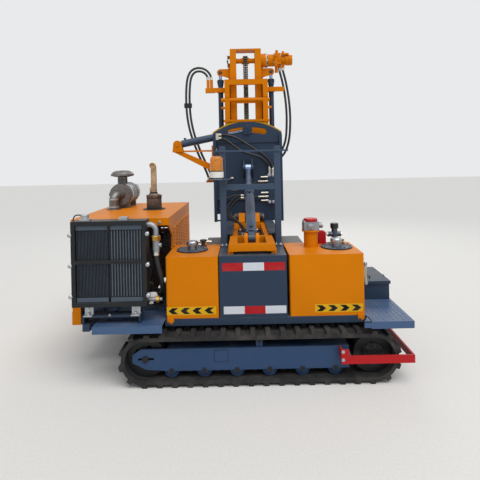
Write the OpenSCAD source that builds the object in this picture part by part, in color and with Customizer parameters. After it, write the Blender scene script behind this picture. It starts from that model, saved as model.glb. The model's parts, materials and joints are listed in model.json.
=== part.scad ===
/* [Undercarriage] */
// Length of each rubber track, over its lugs
track_len = 1978; // [1800:2:2100]
// Height of each rubber track, over its lugs
track_h = 370; // [350:2:400]
// Width of one rubber track
track_w = 300; // [260:5:320]
// Overall width across both tracks
gauge_w = 1500; // [1400:10:1600]
// Place of the tracks' middle along X
track_cx = 173; // [150:1:195]
// Place of the undercarriage's middle along Y
under_cy = -319; // [-330:1:-305]
// Thickness of the track's belt
belt_t = 25; // [18:1:30]
// Height of a track lug
lug_h = 22; // [15:1:28]
// Length of a track lug along the belt
lug_len = 46; // [35:1:55]
// Number of lugs in one row round a track
lug_n = 40; // [34:2:44]
// Number of drive teeth inside one track
tooth_n = 60; // [50:2:64]
// Diameter of a bottom roller
roller_d = 104; // [80:2:110]
// Distance between bottom rollers
roller_pitch = 231; // [215:1:240]
// Height of the track frame's side plate
frame_h = 155; // [140:5:170]

/* [Deck and steps] */
// Height of the deck's top face above the ground
deck_top = 445; // [435:1:470]
// Height of the deck's edge rail
rail_h = 50; // [40:2:60]
// Left end of the tank deck along X
deck_x0 = -496; // [-505:1:-490]
// Right end of the tank deck along X
deck_x1 = 944; // [930:1:950]
// Front face of the deck along Y
deck_y0 = -975; // [-990:1:-960]
// Rear face of the deck along Y
deck_y1 = 330; // [320:1:350]
// Height of the bumper's flat bar
guard_h = 55; // [40:1:70]
// Height of the bumper's middle above the ground
guard_z = 184; // [160:2:210]
// Distance from the track's end to the bumper's outer face
guard_gap = 78; // [70:1:90]

/* [Tanks and slide housing] */
// Width of the slide housing
housing_w = 490; // [470:2:500]
// Height of the tanks and the housing
tank_h = 441; // [400:1:480]
// Front face of the tanks along Y
tank_y0 = -969; // [-975:1:-960]
// Depth of the tanks
tank_depth = 450; // [400:5:460]
// Rear face of the slide housing along Y
housing_y1 = 175; // [160:1:190]
// Diameter of a hatch plate
hatch_d = 240; // [200:5:260]

/* [Engine] */
// Width of the engine hood along X
hood_w = 750; // [700:5:790]
// Front edge of the hood along Y
hood_y0 = -785; // [-800:1:-770]
// Rear edge of the hood along Y
hood_y1 = 475; // [440:1:490]
// Height of the hood's top
hood_top = 1147; // [1100:1:1190]
// Thickness of the hood's panels
hood_t = 12; // [8:1:16]
// Width of the radiator
rad_w = 527; // [500:1:560]
// Height of the radiator
rad_h = 599; // [560:1:640]
// Depth of the radiator
rad_d = 110; // [90:1:120]
// Diameter of the air cleaner
cleaner_d = 200; // [160:1:210]
// Length of the air cleaner
cleaner_len = 360; // [320:5:400]
// Diameter of the muffler
muffler_d = 134; // [110:1:150]
// Diameter of the exhaust pipe
exhaust_d = 53; // [45:1:60]
// Number of louvre rows in a side panel
louvre_rows = 17; // [12:1:18]
// Number of louvre columns in a side panel
louvre_cols = 7; // [5:1:7]

/* [Portal and beacon] */
// Side of the portal's square posts
post_w = 50; // [40:1:60]
// Height of the posts above the ground
post_top = 1690; // [1650:5:1750]
// Diameter of the beacon
beacon_d = 110; // [90:1:120]

/* [Slide frame and tilting back plate] */
// Place of the mast's middle along X
mast_x = 140; // [130:1:150]
// Half width of the slide frame
slide_hw = 170; // [160:1:175]
// Height of the slide frame's beams
slide_h = 54; // [48:1:60]
// Height of the tilt axis above the ground
tilt_z = 1011; // [1000:1:1025]
// Place of the tilt axis along Y
tilt_y = 215; // [210:1:225]
// Diameter of the tilt pin
tilt_pin_d = 50; // [40:1:56]
// Half width of the back plate
plate_hw = 347; // [330:1:360]
// Thickness of the back plate
plate_t = 20; // [16:1:22]
// Height of the back plate's crown above the ground
crown_z = 1965; // [1950:1:1985]
// Radius of the back plate's arc
crown_r = 575; // [550:5:600]
// Height of the swing axis above the ground
swing_z = 1083; // [1070:1:1095]
// Radius of the curved slot about the swing axis
slot_r = 800; // [780:1:815]
// Width of the curved slot
slot_w = 58; // [50:1:64]
// Swing each way
swing_deg = 12; // [8:1:14]

/* [Cylinders] */
// Diameter of the tilt cylinder's barrel
tilt_barrel_d = 80; // [72:1:96]
// Length of the tilt cylinder's barrel
tilt_barrel_len = 640; // [600:5:680]
// Diameter of the tilt cylinder's rod
tilt_rod_d = 48; // [40:1:55]
// Diameter of the swing cylinder's barrel
swing_barrel_d = 75; // [65:1:78]
// Length of the swing cylinder's barrel
swing_barrel_len = 480; // [470:5:490]
// Diameter of the swing cylinder's rod
swing_rod_d = 38; // [32:1:44]
// Diameter of a cylinder's end pin
eye_pin_d = 40; // [32:1:44]
// Diameter of a lift cylinder's barrel
lift_barrel_d = 54; // [46:1:60]
// Diameter of a lift cylinder's rod
lift_rod_d = 34; // [28:1:40]

/* [Mast] */
// Half width of the mast guide
guide_hw = 225; // [220:1:235]
// Height of the mast guide's top above the ground
guide_top = 2420; // [2380:5:2440]
// Half width of the mast
mast_hw = 164; // [158:1:166]
// Width of one mast channel
channel_w = 65; // [55:1:70]
// Depth of the mast along Y
mast_d = 130; // [120:1:135]
// Front face of the mast along Y
mast_y0 = 445; // [440:1:455]
// Height of the mast's foot above the ground
mast_z0 = 430; // [430:5:500]
// Height of the mast's top above the ground
mast_top = 2756; // [2740:1:2780]
// Radius of the chain's run over its sprocket
chain_r = 46; // [42:1:50]
// Pitch of the chain's drawn links
chain_pitch = 50; // [40:1:60]

/* [Hammer] */
// Width of the hammer's housing
hammer_w = 300; // [260:5:330]
// Lower edge of the hammer's housing
hammer_z0 = 950; // [930:5:980]
// Upper edge of the hammer's housing
hammer_z1 = 1950; // [1850:5:1990]
// Depth of the hammer's housing along Y
hammer_depth = 491; // [480:1:520]
// Diameter of the drive cap
cap_d = 230; // [200:5:260]
// Diameter of the socket in the drive cap
socket_d = 170; // [120:5:180]

/* [Hidden] */
$fn = 48;

orange = [0.85, 0.45, 0.05];
slate = [0.24, 0.31, 0.38];
steel_blue = [0.3, 0.37, 0.47];
step_blue = [0.33, 0.42, 0.54];
red = [0.75, 0.12, 0.13];
rubber = [0.08, 0.08, 0.08];
black = [0.12, 0.12, 0.13];
silver = [0.72, 0.73, 0.74];

fit_gap = 0.3;
move_gap = 6;

fuel_x0 = deck_x0 + 8;
hood_x1 = fuel_x0 - 2;
hood_x0 = hood_x1 - hood_w;
track_cz = track_h / 2;
track_hc = (track_len - track_h) / 2;
belt_r = track_cz - lug_h;
inner_r = belt_r - belt_t;
tooth_h = 26;
tooth_w = 56;
tooth_base = 36;
tooth_tip = 18;
near_y = under_cy - gauge_w / 2;
frame_z1 = 255;
frame_z0 = frame_z1 - frame_h;
frame_x0 = track_cx - track_hc - 92;
frame_x1 = track_cx + track_hc - 175;
frame_v0 = 40;
cross_x = track_cx + 430;
frame_v1 = track_w - 40;
plate_v = 12;
cover_x = track_cx - 271;
cover_w = 94;
carrier_z = track_h - lug_h - belt_t - fit_gap - 30;
idler_x = track_cx - track_hc;
drive_x = track_cx + track_hc;
axle_d = 36;
idler_axle_d = 44;
drive_hub_d = 150;
machine_x1 = track_cx + track_len / 2 + guard_gap;
guard_y0 = near_y - 30;
guard_plate_x = drive_x - 244;
roller_z = lug_h + belt_t + roller_d / 2 + fit_gap;
roller_x0 = track_cx - 621;
tank_y1 = tank_y0 + tank_depth;
tank_z1 = deck_top + tank_h;
housing_x0 = mast_x - housing_w / 2;
housing_x1 = mast_x + housing_w / 2;
fuel_x1 = housing_x0 - 5;
oil_x0 = housing_x1 + 18;
oil_x1 = deck_x1 - 4;
hatch_y = tank_y0 + 245;
fuel_hatch_x = fuel_x0 + 168;
oil_hatch_x = oil_x0 + 394;
filter_x = oil_x0 + 203;
filter_y = tank_y0 + 284;
filter_neck = 134;
filter_head = 65;
valve_x = oil_hatch_x - 35;
valve_y = tank_y1 - 38;
tab_r = 24;
gauge_y = tank_y0 + 69;
gauge_z0 = deck_top + 200;
gauge_len = 160;
hatch_t = 10;
rad_x0 = hood_x0 + 109;
rad_y0 = -1055;
rad_z0 = 568;
rad_z1 = rad_z0 + rad_h;
step_t = 6;
step_lip = 50;
step_y0 = near_y - 31;
step_x1 = deck_x0 - fit_gap;
step_x0 = step_x1 - 483;
deck_tube = 60;
deck_rail = 50;
hood_jamb = 66;
hood_fascia = 56;
hood_setback = 169;
hood_bevel = 110;
louvre_y0 = hood_y0 + 192;
louvre_z0 = deck_top + 120;
louvre_len = 112;
louvre_gap = 10;
louvre_dy = 150;
louvre_dz = 29;
engine_x0 = hood_x0 + 190;
engine_x1 = hood_x1 - 170;
engine_y0 = hood_y0 + 260;
engine_y1 = hood_y1 - 260;
fan_d = 400;
stand_x0 = rad_x0 + 67;
stand_x1 = rad_x0 + 474;
stand_z1 = deck_top + 60;
rad_bar = 29;
rad_band = 35;
rad_bolts = [75, 290, 505];
cleaner_x = hood_x0 + 169;
cleaner_y0 = -35;
cleaner_z = hood_top + 131;
intake_d = 85;
intake_turn = 30;
intake_stub = 30;
intake_r = 50;
muffler_x = hood_x1 - 239;
muffler_y = -150;
exhaust_z = 1510;
exhaust_r = 35;
portal_y0 = -612;
slide_z1 = 959;
slide_z0 = slide_z1 - slide_h;
slide_y0 = -915;
plate_y1 = tilt_y + 67;
plate_y0 = plate_y1 - plate_t;
plate_z0 = slide_z1 + 6;
clevis_y = -785;
clevis_z = 980;
hinge_r = plate_y0 - tilt_y - move_gap;
upper_pin_y = tilt_y - 50;
upper_pin_z = 1500;
side_bar_w = 30;
doubler_t = 14;
doubler_z0 = 1755;
pivot_d = 70;
pin_head_t = 14;
slot_z = swing_z + slot_r;
swing_cyl_y = plate_y1 + 45;
swing_base_x = mast_x - 714;
swing_base_z = slot_z - 134;
bracket_z0 = swing_base_z - 75;
manifold_x = mast_x + 200;
manifold_z0 = 1140;
manifold_z1 = 1440;
fitting_z = [1168, 1208, 1247, 1362, 1405];
guide_y0 = swing_cyl_y + 45;
guide_rail_x = mast_hw + 8;
guide_z0 = 950;
mast_y1 = mast_y0 + mast_d;
mast_yc = (mast_y0 + mast_y1) / 2;
flange_y0 = mast_y0 + 55;
flange_y1 = flange_y0 + 20;
flange_x = mast_hw + 20;
claw_y1 = flange_y1 + 25;
lift_x = 270;
lift_y = mast_yc;
lift_z0 = 1330;
lift_z1 = 2440;
lug_z = mast_top - 236;
arm_z = 2327;
sprocket_z = mast_top - 116;
foot_sprocket_z = mast_z0 + 90;
carriage_z0 = 1150;
carriage_z1 = 1850;
carriage_y0 = mast_y1 + move_gap;
carriage_t = 28;
hammer_y0 = carriage_y0 + carriage_t;
hammer_y1 = hammer_y0 + hammer_depth;
hammer_yc = hammer_y0 + 190;
guard_t = 12;
toolbox_x0 = deck_x1 + 6;
toolbox_x1 = machine_x1 - 10;
toolbox_y0 = -639;
toolbox_y1 = -214;
toolbox_z1 = deck_top + 138;
lid_t = 10;
knuckle_d = 14;
knuckle_gap = 0.5;
knuckle_x = toolbox_x0 + 8;
knuckle_z = toolbox_z1 + 7;
knuckle_hl = 90;
beacon_x = mast_x - 263;
beacon_y = portal_y0 - 68;
beacon_z = 1430;
rain_cap_d = 216;

hose_d = 24;
cooler_d = 38;
cooler_route = [[-546, -1000, 940], [-546, -1000, 900], [-536, -988, 830], [-524, -955, 740],
    [-524, -905, 668], [-536, -848, 620], [-562, -788, 594], [-602, -720, 580], [-644, -655, 576],
    [-676, -604, 575], [-690, -566, 575], [-690, -545, 575]];
loop_end_z = 1374;
loop_route_1 = [[-226, 492, 2440], [-236, 492, 2490], [-265, 492, 2533], [-308, 492, 2562], [-358, 492, 2572],
    [-408, 492, 2562], [-450, 492, 2530], [-478, 492, 2470], [-492, 492, 2390], [-498, 492, 2290],
    [-498, 492, 2160], [-488, 492, 2030], [-464, 492, 1900], [-428, 492, 1780], [-384, 492, 1660],
    [-336, 492, 1550], [-298, 492, 1460], [-278, 492, 1400], [-276, 492, loop_end_z]];
loop_route_2 = [[-262, 492, 2440], [-269, 492, 2477], [-290, 492, 2508], [-321, 492, 2529], [-358, 492, 2536],
    [-395, 492, 2528], [-426, 492, 2500], [-446, 492, 2450], [-456, 492, 2380], [-462, 492, 2290],
    [-462, 492, 2160], [-452, 492, 2030], [-428, 492, 1900], [-392, 492, 1780], [-348, 492, 1660],
    [-300, 492, 1550], [-262, 492, 1460], [-242, 492, 1400], [-240, 492, loop_end_z]];
motor_route_1 = [[540, 510, 2560], [542, 510, 2520], [566, 512, 2420], [590, 516, 2280], [606, 522, 2120],
    [608, 528, 1960], [594, 536, 1800], [555, 546, 1670], [490, 554, 1590], [425, 556, 1564],
    [372, 556, 1562]];
motor_route_2 = [[506, 530, 2560], [508, 530, 2520], [532, 532, 2420], [556, 536, 2280], [571, 542, 2120],
    [572, 546, 1960], [560, 550, 1810], [525, 554, 1700], [470, 556, 1626], [420, 556, 1602],
    [372, 556, 1600]];
plate_route_1 = [[-148, 230, 1836], [-110, 222, 1836], [-70, 212, 1833], [0, 208, 1816], [90, 208, 1770],
    [180, 208, 1708], [270, 212, 1650], [340, 218, 1590], [378, 226, 1530], [388, 232, 1490],
    [388, 232, 1478]];
plate_route_2 = [[-148, 230, 1802], [-120, 224, 1801], [-70, 210, 1783], [10, 204, 1720], [80, 198, 1672],
    [170, 196, 1640], [250, 200, 1610], [310, 212, 1570], [346, 226, 1520], [354, 232, 1478]];

module box(x0, x1, y0, y1, z0, z1) {
    translate([x0, y0, z0]) cube([x1 - x0, y1 - y0, z1 - z0]);
}
module bar_x(x0, x1, y, z, d) {
    translate([x0, y, z]) rotate([0, 90, 0]) cylinder(d = d, h = x1 - x0);
}
module bar_y(y0, y1, x, z, d) {
    translate([x, y1, z]) rotate([90, 0, 0]) cylinder(d = d, h = y1 - y0);
}
module bar_z(z0, z1, x, y, d) {
    translate([x, y, z0]) cylinder(d = d, h = z1 - z0);
}
// A flat outline drawn in X and Z, made solid from y0 to y1
module solid_y(y0, y1) {
    translate([0, y1, 0]) rotate([90, 0, 0]) linear_extrude(y1 - y0) children();
}
// A flat outline drawn in Y and Z, made solid from x0 to x1
module solid_x(x0, x1) {
    translate([x0, 0, 0]) rotate([90, 0, 90]) linear_extrude(x1 - x0) children();
}
module mirrored_x(x) {
    children();
    translate([2 * x, 0, 0]) mirror([1, 0, 0]) children();
}
// A box with upright edges rounded to radius r
module soft_box(x0, x1, y0, y1, z0, z1, r) {
    translate([0, 0, z0]) linear_extrude(z1 - z0) round_rect(x0, x1, y0, y1, r);
}
module round_rect(x0, x1, y0, y1, r) {
    translate([x0 + r, y0]) square([x1 - x0 - 2 * r, y1 - y0]);
    translate([x0, y0 + r]) square([x1 - x0, y1 - y0 - 2 * r]);
    for (x = [x0 + r, x1 - r]) for (y = [y0 + r, y1 - r]) translate([x, y]) circle(r = r);
}
// A strip with round ends from point p to point q
module strip(p, q, w) {
    dx = q[0] - p[0];
    dy = q[1] - p[1];
    translate(p) rotate(atan2(dy, dx)) translate([0, -w / 2]) square([norm([dx, dy]), w]);
    translate(p) circle(d = w);
    translate(q) circle(d = w);
}
// Near and far copies of what is drawn with y counted inwards from the outer face
module both_tracks() {
    for (side = [0, 1]) one_track(side) children();
}
module one_track(side) {
    translate([0, under_cy, 0]) mirror([0, side, 0]) translate([0, -gauge_w / 2, 0]) children();
}

// Places its child on the track's loop of radius r, at distance s along it
module on_loop(s, r) {
    flat = 2 * track_hc;
    arc = PI * r;
    if (s < flat) {
        translate([track_cx - track_hc + s, track_cz - r]) children();
    } else if (s < flat + arc) {
        translate([track_cx + track_hc, track_cz]) rotate((s - flat) / r * 180 / PI)
            translate([0, -r]) children();
    } else if (s < 2 * flat + arc) {
        translate([track_cx + track_hc - (s - flat - arc), track_cz + r]) rotate(180) children();
    } else {
        translate([track_cx - track_hc, track_cz]) rotate(180 + (s - 2 * flat - arc) / r * 180 / PI)
            translate([0, -r]) children();
    }
}
module loop_outline(r) {
    translate([track_cx - track_hc, track_cz - r]) square([2 * track_hc, 2 * r]);
    for (x = [-1, 1]) translate([track_cx + x * track_hc, track_cz]) circle(r = r);
}
module lug_row(phase) {
    loop_len = 4 * track_hc + 2 * PI * belt_r;
    for (i = [0 : lug_n - 1]) on_loop((i + phase) * loop_len / lug_n, belt_r)
        polygon([[-lug_len / 2, 4], [lug_len / 2, 4], [lug_len * 0.36, -lug_h],
            [-lug_len * 0.36, -lug_h]]);
}
module tooth_row() {
    loop_len = 4 * track_hc + 2 * PI * inner_r;
    mid = 3 * track_hc + PI * inner_r;
    for (i = [0 : tooth_n - 1]) on_loop((mid + (i + 0.5) * loop_len / tooth_n) % loop_len, inner_r)
        polygon([[-tooth_base / 2, -4], [tooth_base / 2, -4], [tooth_tip / 2, tooth_h],
            [-tooth_tip / 2, tooth_h]]);
}
module track_loop() {
    solid_y(0, track_w) difference() {
        loop_outline(belt_r);
        loop_outline(inner_r);
    }
    solid_y(0, track_w * 0.52) lug_row(0);
    solid_y(track_w * 0.48, track_w) lug_row(0.5);
    solid_y(track_w / 2 - tooth_w / 2 + 6, track_w / 2 + tooth_w / 2 - 6) tooth_row();
}
module track_near() {
    color(rubber) one_track(0) track_loop();
}
module track_far() {
    color(rubber) one_track(1) track_loop();
}

// A wheel with a groove for the belt's guide teeth, about an axis along Y
module grooved_wheel(x, z, r, groove_r, v0, v1, hub_r) {
    vm = track_w / 2;
    translate([x, 0, z]) rotate([-90, 0, 0]) rotate_extrude()
        polygon([[0, v0 - 8], [hub_r, v0 - 8], [hub_r, v0], [r, v0], [r, vm - tooth_w / 2],
            [groove_r, vm - tooth_w / 2], [groove_r, vm + tooth_w / 2], [r, vm + tooth_w / 2],
            [r, v1], [hub_r, v1], [hub_r, v1 + 8], [0, v1 + 8]]);
}
module track_wheels() {
    wheel_r = inner_r - fit_gap;
    groove_r = wheel_r - tooth_h - 4;
    v0 = frame_v0 + plate_v + 10;
    v1 = frame_v1 - plate_v - 10;
    color(black) both_tracks() {
        difference() {
            grooved_wheel(idler_x, track_cz, wheel_r, groove_r, v0 + 6, v1 - 6, 40);
            for (k = [0 : 4]) translate([idler_x, 0, track_cz]) rotate([0, k * 72, 0])
                bar_y(0, track_w, 72, 0, 36);
        }
        bar_y(frame_v0 - 10, frame_v1 + 6, idler_x, track_cz, idler_axle_d);
        grooved_wheel(drive_x, track_cz, wheel_r, groove_r, v0 + 6, v1 - 6, 80);
        bar_y(44, v0, drive_x, track_cz, drive_hub_d);
        bar_y(34, 44, drive_x, track_cz, 110);
        bar_y(v1 - 2, track_w + 20, drive_x, track_cz, drive_hub_d);
        for (i = [0 : 5]) grooved_wheel(roller_x0 + i * roller_pitch, roller_z, roller_d / 2,
            roller_d / 2 - tooth_h - 4, v0 + 4, v1 - 4, 20);
        for (i = [0 : 5]) bar_y(frame_v0 - 6, frame_v1 + 6, roller_x0 + i * roller_pitch, roller_z, axle_d);
        bar_y(frame_v0 + 6, frame_v1 - 6, track_cx, carrier_z, 28);
        grooved_wheel(track_cx, carrier_z, 30, 16, v0 + 20, v1 - 20, 14);
    }
}
module frame_side() {
    nose = frame_x0 + 60;
    difference() {
        union() {
            polygon([[nose + 40, frame_z0 + 12], [frame_x0 + 260, frame_z0], [frame_x1, frame_z0],
                [frame_x1, frame_z1 - 8], [frame_x1 - 8, frame_z1], [nose, frame_z1], [frame_x0, frame_z1 - 40],
                [frame_x0, frame_z0 + 60]]);
            for (i = [0 : 5]) translate([roller_x0 + i * roller_pitch, roller_z]) circle(d = axle_d + 14);
        }
        strip([idler_x - 45, track_cz], [idler_x + 52, track_cz], 18);
    }
}
module track_frames() {
    color(slate) both_tracks() difference() {
        union() {
            for (v = [frame_v0, frame_v1 - plate_v]) solid_y(v, v + plate_v) frame_side();
            box(cover_x - cover_w / 2, cover_x + cover_w / 2, frame_v0 - 3, frame_v0 + 1,
                frame_z1 - 95, frame_z1 - 15);
            box(idler_x + inner_r + 12, frame_x1, frame_v0, frame_v1, frame_z1 - plate_v, frame_z1);
            box(frame_x1 - plate_v, frame_x1, frame_v0, frame_v1, frame_z0, frame_z1);
            solid_y(frame_v1, frame_v1 + 24) {
                translate([cross_x + 90, frame_z0 + 20]) square([drive_x - cross_x - 90, 120]);
                translate([drive_x, track_cz]) circle(d = drive_hub_d + 90);
            }
            for (v = [frame_v0 + 12, frame_v1 - 28])
                box(track_cx - 24, track_cx + 24, v, v + 16, frame_z1, carrier_z + 20);
        }
        bar_y(frame_v1 - 40, track_w, drive_x, track_cz, drive_hub_d + 2 * fit_gap);
        for (i = [0 : 5]) bar_y(0, track_w, roller_x0 + i * roller_pitch, roller_z, axle_d + 2 * fit_gap);
        bar_y(0, track_w, track_cx, carrier_z, 28 + 2 * fit_gap);
        bar_y(0, track_w, idler_x, track_cz, idler_axle_d + 2 * fit_gap);
    }
}

module deck_frame() {
    z0 = deck_top - rail_h;
    x0 = hood_x0 + 10;
    y0 = hood_y0 + 12;
    y1 = hood_y1 - 12;
    color(slate) {
        difference() {
            box(deck_x0, deck_x1, deck_y0, deck_y1, z0, deck_top);
            box(deck_x0 + deck_rail, deck_x1 - deck_rail, deck_y0 + deck_rail, deck_y1 - deck_rail,
                z0 - 1, deck_top - 8);
        }
        for (y = [y0 + 78, y1 - 148]) box(x0, deck_x0 + 1, y, y + deck_tube, z0, deck_top);
        box(x0, x0 + deck_tube, y0, y1, z0, deck_top);
        box(deck_x0 - deck_rail, deck_x0 + 1, y0, y1, z0, deck_top);
        box(stand_x0, stand_x0 + deck_rail, rad_y0 + 10, y0 + 79, z0, deck_top);
        for (x = [2 * track_cx - cross_x, cross_x]) {
            box(x - 80, x + 80, near_y + frame_v1, near_y + gauge_w - frame_v1, 150, 250);
            box(x - 60, x + 60, under_cy - 220, under_cy + 220, 240, deck_top - 4);
        }
        box(2 * track_cx - cross_x, cross_x, under_cy - 200, under_cy + 200, 170, 300);
        solid_y(y0, y0 + 12) polygon([[x0, z0], [x0 + 160, z0], [x0 + 60, z0 - 50], [x0, z0 - 50]]);
    }
}
module end_guard() {
    zl = guard_z - guard_h / 2;
    zh = guard_z + guard_h / 2;
    y0 = guard_y0;
    y1 = 2 * under_cy - y0;
    px = guard_plate_x;
    color(red) {
        for (side = [0, 1]) translate([0, under_cy, 0]) mirror([0, side, 0]) translate([0, -under_cy, 0]) {
            box(px, machine_x1, y0, y0 + guard_t, zl, zh);
            translate([0, 0, guard_z - 2]) linear_extrude(73) polygon([[px, y0], [px + 55, y0],
                [px + 55, y0 + guard_t], [px + guard_t, y0 + guard_t], [px + guard_t, near_y + frame_v0],
                [px, near_y + frame_v0]]);
        }
        box(machine_x1 - guard_t, machine_x1, y0, y1, zl, zh);
    }
}
module steps() {
    z0 = deck_top - step_lip;
    y1 = hood_y0 - 2;
    x0 = deck_x1 + fit_gap;
    x1 = machine_x1;
    color(step_blue) {
        box(step_x0, step_x1, step_y0, y1, deck_top - step_t, deck_top);
        box(step_x0, step_x1, step_y0, step_y0 + step_t, z0, deck_top);
        box(step_x0, step_x0 + step_t, step_y0, y1, z0, deck_top);
        for (x = [step_x0 + 20, step_x1 - 90])
            box(x, x + 40, step_y0 + step_t, hood_y0 + 90, z0, deck_top - step_t);
        box(x0, x1, step_y0, toolbox_y1 + 20, deck_top - step_t, deck_top);
        box(x0, x1, step_y0, step_y0 + step_t, z0, deck_top);
        box(x1 - step_t, x1, step_y0, toolbox_y1 + 20, z0, deck_top);
        for (y = [deck_y0 + 20, deck_y0 + 360, toolbox_y1 - 60]) solid_y(y, y + 12)
            polygon([[x0, z0], [x0 + 60, z0], [x1 - 2, deck_top - 30], [x1 - 2, deck_top], [x0, deck_top]]);
    }
}

module slide_housing() {
    color(slate) soft_box(housing_x0, housing_x1, tank_y0, housing_y1, deck_top, tank_z1, 8);
}
module slide_guides() {
    inner = slide_hw + 10 + move_gap;
    color(slate) mirrored_x(mast_x) {
        difference() {
            box(mast_x + inner, mast_x + housing_w / 2, portal_y0 + post_w + 8, housing_y1,
                tank_z1, slide_z0 - 4);
            for (i = [0 : 5])
                bar_z(tank_z1 - 1, slide_z0, mast_x + inner + 26, portal_y0 + 110 + i * 120, 14);
        }
        box(mast_x + slide_hw - 22, mast_x + housing_w / 2 - 10, portal_y0 + post_w + 8, housing_y1,
            slide_z1 + move_gap, slide_z1 + move_gap + 12);
        box(mast_x + inner, mast_x + inner + 22, portal_y0 + post_w + 8, housing_y1, tank_z1,
            slide_z1 + move_gap + 12);
    }
}
module tank_body(x0, x1, tab_x) {
    soft_box(x0, x1, tank_y0, tank_y1, deck_top, tank_z1, 14);
    solid_y(deck_y0 - 6, deck_y0) {
        translate([tab_x, deck_top - 10]) circle(r = tab_r);
        translate([tab_x - tab_r, deck_top - 10]) square([2 * tab_r, 22]);
    }
    box(tab_x - tab_r, tab_x + tab_r, deck_y0 - 1, tank_y0 + 1, deck_top, deck_top + 12);
    bar_y(deck_y0 - 14, deck_y0 - 5, tab_x, deck_top - 12, 20);
}
module fuel_tank() {
    color(orange) tank_body(fuel_x0, fuel_x1, fuel_x0 + tab_r + 8);
}
module oil_tank() {
    color(orange) {
        tank_body(oil_x0, oil_x1, oil_x1 - tab_r - 8);
        bar_z(tank_z1 - 1, tank_z1 + filter_neck, filter_x, filter_y, 108);
        bar_z(tank_z1 + filter_neck - 12, tank_z1 + filter_neck, filter_x, filter_y, 138);
    }
}
module tank_hatches() {
    color(slate) for (x = [fuel_hatch_x, oil_hatch_x]) {
        bar_z(tank_z1, tank_z1 + hatch_t, x, hatch_y, hatch_d);
        for (k = [0 : 7]) translate([x, hatch_y, tank_z1 + hatch_t]) rotate(k * 45 + 22)
            translate([hatch_d / 2 - 16, 0, 0]) cylinder(d = 18, h = 8, $fn = 6);
    }
}
module filler_caps() {
    z = tank_z1 + hatch_t;
    color(silver) for (x = [fuel_hatch_x, oil_hatch_x]) translate([x, hatch_y, z]) rotate_extrude()
        polygon([[0, 0], [34, 0], [34, 26], [44, 28], [44, 52], [38, 60], [0, 60]]);
}
module return_filter() {
    z0 = tank_z1 + filter_neck;
    z = z0 + filter_head / 2;
    color(silver) {
        soft_box(filter_x - 62, filter_x + 62, filter_y - 50, filter_y + 50, z0, z0 + filter_head, 16);
        bar_x(filter_x + 61, filter_x + 88, filter_y, z, 44);
        bar_y(filter_y - 62, filter_y - 49, filter_x - 8, z, 52);
    }
}
module filter_cap() {
    z0 = tank_z1 + filter_neck + filter_head;
    color(red) translate([filter_x, filter_y, z0]) rotate_extrude()
        polygon([[0, 0], [50, 0], [54, 4], [54, 18], [48, 24], [0, 24]]);
}
module level_gauge() {
    x = oil_x1;
    y = gauge_y;
    z1 = gauge_z0 + gauge_len;
    color(silver) {
        box(x, x + 4, y - 16, y + 16, gauge_z0, z1);
        box(x + 3, x + 9, y - 10, y + 10, gauge_z0 + 24, z1 - 24);
        for (z = [gauge_z0 + 12, z1 - 12]) bar_x(x + 3, x + 10, y, z, 14);
    }
}
module valve_block() {
    color(red) {
        soft_box(valve_x - 80, valve_x - 16, valve_y - 32, valve_y + 32, tank_z1, tank_z1 + 96, 6);
        bar_z(tank_z1 + 95, tank_z1 + 104, valve_x - 48, valve_y, 40);
    }
}

// Rows of louvre slots in a side panel, drawn in Y and Z
module louvre_field() {
    for (i = [0 : louvre_cols - 1]) for (j = [0 : louvre_rows - 1])
        translate([louvre_y0 + i * louvre_dy, louvre_z0 + j * louvre_dz]) square([louvre_len, louvre_gap]);
}
module engine_hood() {
    z0 = deck_top;
    y0 = hood_y0;
    y1 = hood_y1;
    x0 = hood_x0;
    x1 = hood_x1;
    t = hood_t;
    opening_z1 = hood_top - hood_fascia;
    color(orange) difference() {
        union() {
            difference() {
                soft_box(x0, x1, y0, y1, z0, hood_top, 10);
                box(x0 + t, x1 - t, y0 + t, y1 - t, z0 - 1, hood_top - t);
            }
            box(x0, x0 + hood_jamb, y0, y0 + t, z0 - 100, z0 + 1);
        }
        box(x0 + hood_jamb, x1 + 1, y0 - 1, y0 + t + 1, z0 - 1, opening_z1);
        solid_x(x1 - t - 1, x1 + 1) polygon([[y0 - 1, z0 - 1], [y0 + hood_setback, z0 - 1],
            [y0 + hood_setback, opening_z1 - hood_bevel], [y0 + t, opening_z1], [y0 - 1, opening_z1]]);
        for (x = [x0, x1]) solid_x(x - t - 1, x + t + 1) louvre_field();
        solid_y(y1 - t - 1, y1 + 1) for (i = [0 : 3]) for (j = [0 : 9])
            translate([x0 + 70 + i * 160, z0 + 120 + j * 52]) square([130, louvre_gap]);
    }
}
module hood_grille() {
    x1 = hood_x1 - hood_t - fit_gap;
    y = hood_y0 + hood_setback;
    z0 = tank_z1 + 16;
    z1 = hood_top - hood_fascia - 8;
    color(black) solid_y(y, y + 6) difference() {
        translate([x1 - 62, z0]) square([62, z1 - z0]);
        for (j = [0 : 7]) translate([x1 - 54, z0 + 10 + j * 22]) square([46, 10]);
    }
}
module engine_block() {
    x0 = engine_x0;
    x1 = engine_x1;
    y0 = engine_y0;
    y1 = engine_y1;
    xm = (x0 + x1) / 2;
    end = cooler_route[len(cooler_route) - 1];
    color(black) {
        box(x0, x1, y0, y1, deck_top + 60, deck_top + 430);
        box(x0 + 70, x1 - 70, y0 + 40, y1 - 60, deck_top + 400, deck_top + 590);
        for (y = [hood_y0 + 90, hood_y1 - 160])
            box(x0 + 60, x1 - 60, y, y + deck_tube, deck_top, deck_top + 62);
        box(x0 + 60, x1 - 60, hood_y0 + 149, y0 + 1, deck_top + 20, deck_top + 62);
        box(x0 + 60, x1 - 60, y1 - 1, hood_y1 - 150, deck_top + 20, deck_top + 62);
        bar_y(y0 - 60, y0 + 1, xm, deck_top + 300, 110);
        bar_y(y0 - 90, y0 - 60, xm, deck_top + 300, fan_d);
        bar_y(end[1], y0 + 1, end[0], end[2], cooler_d + 12);
    }
}

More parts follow.
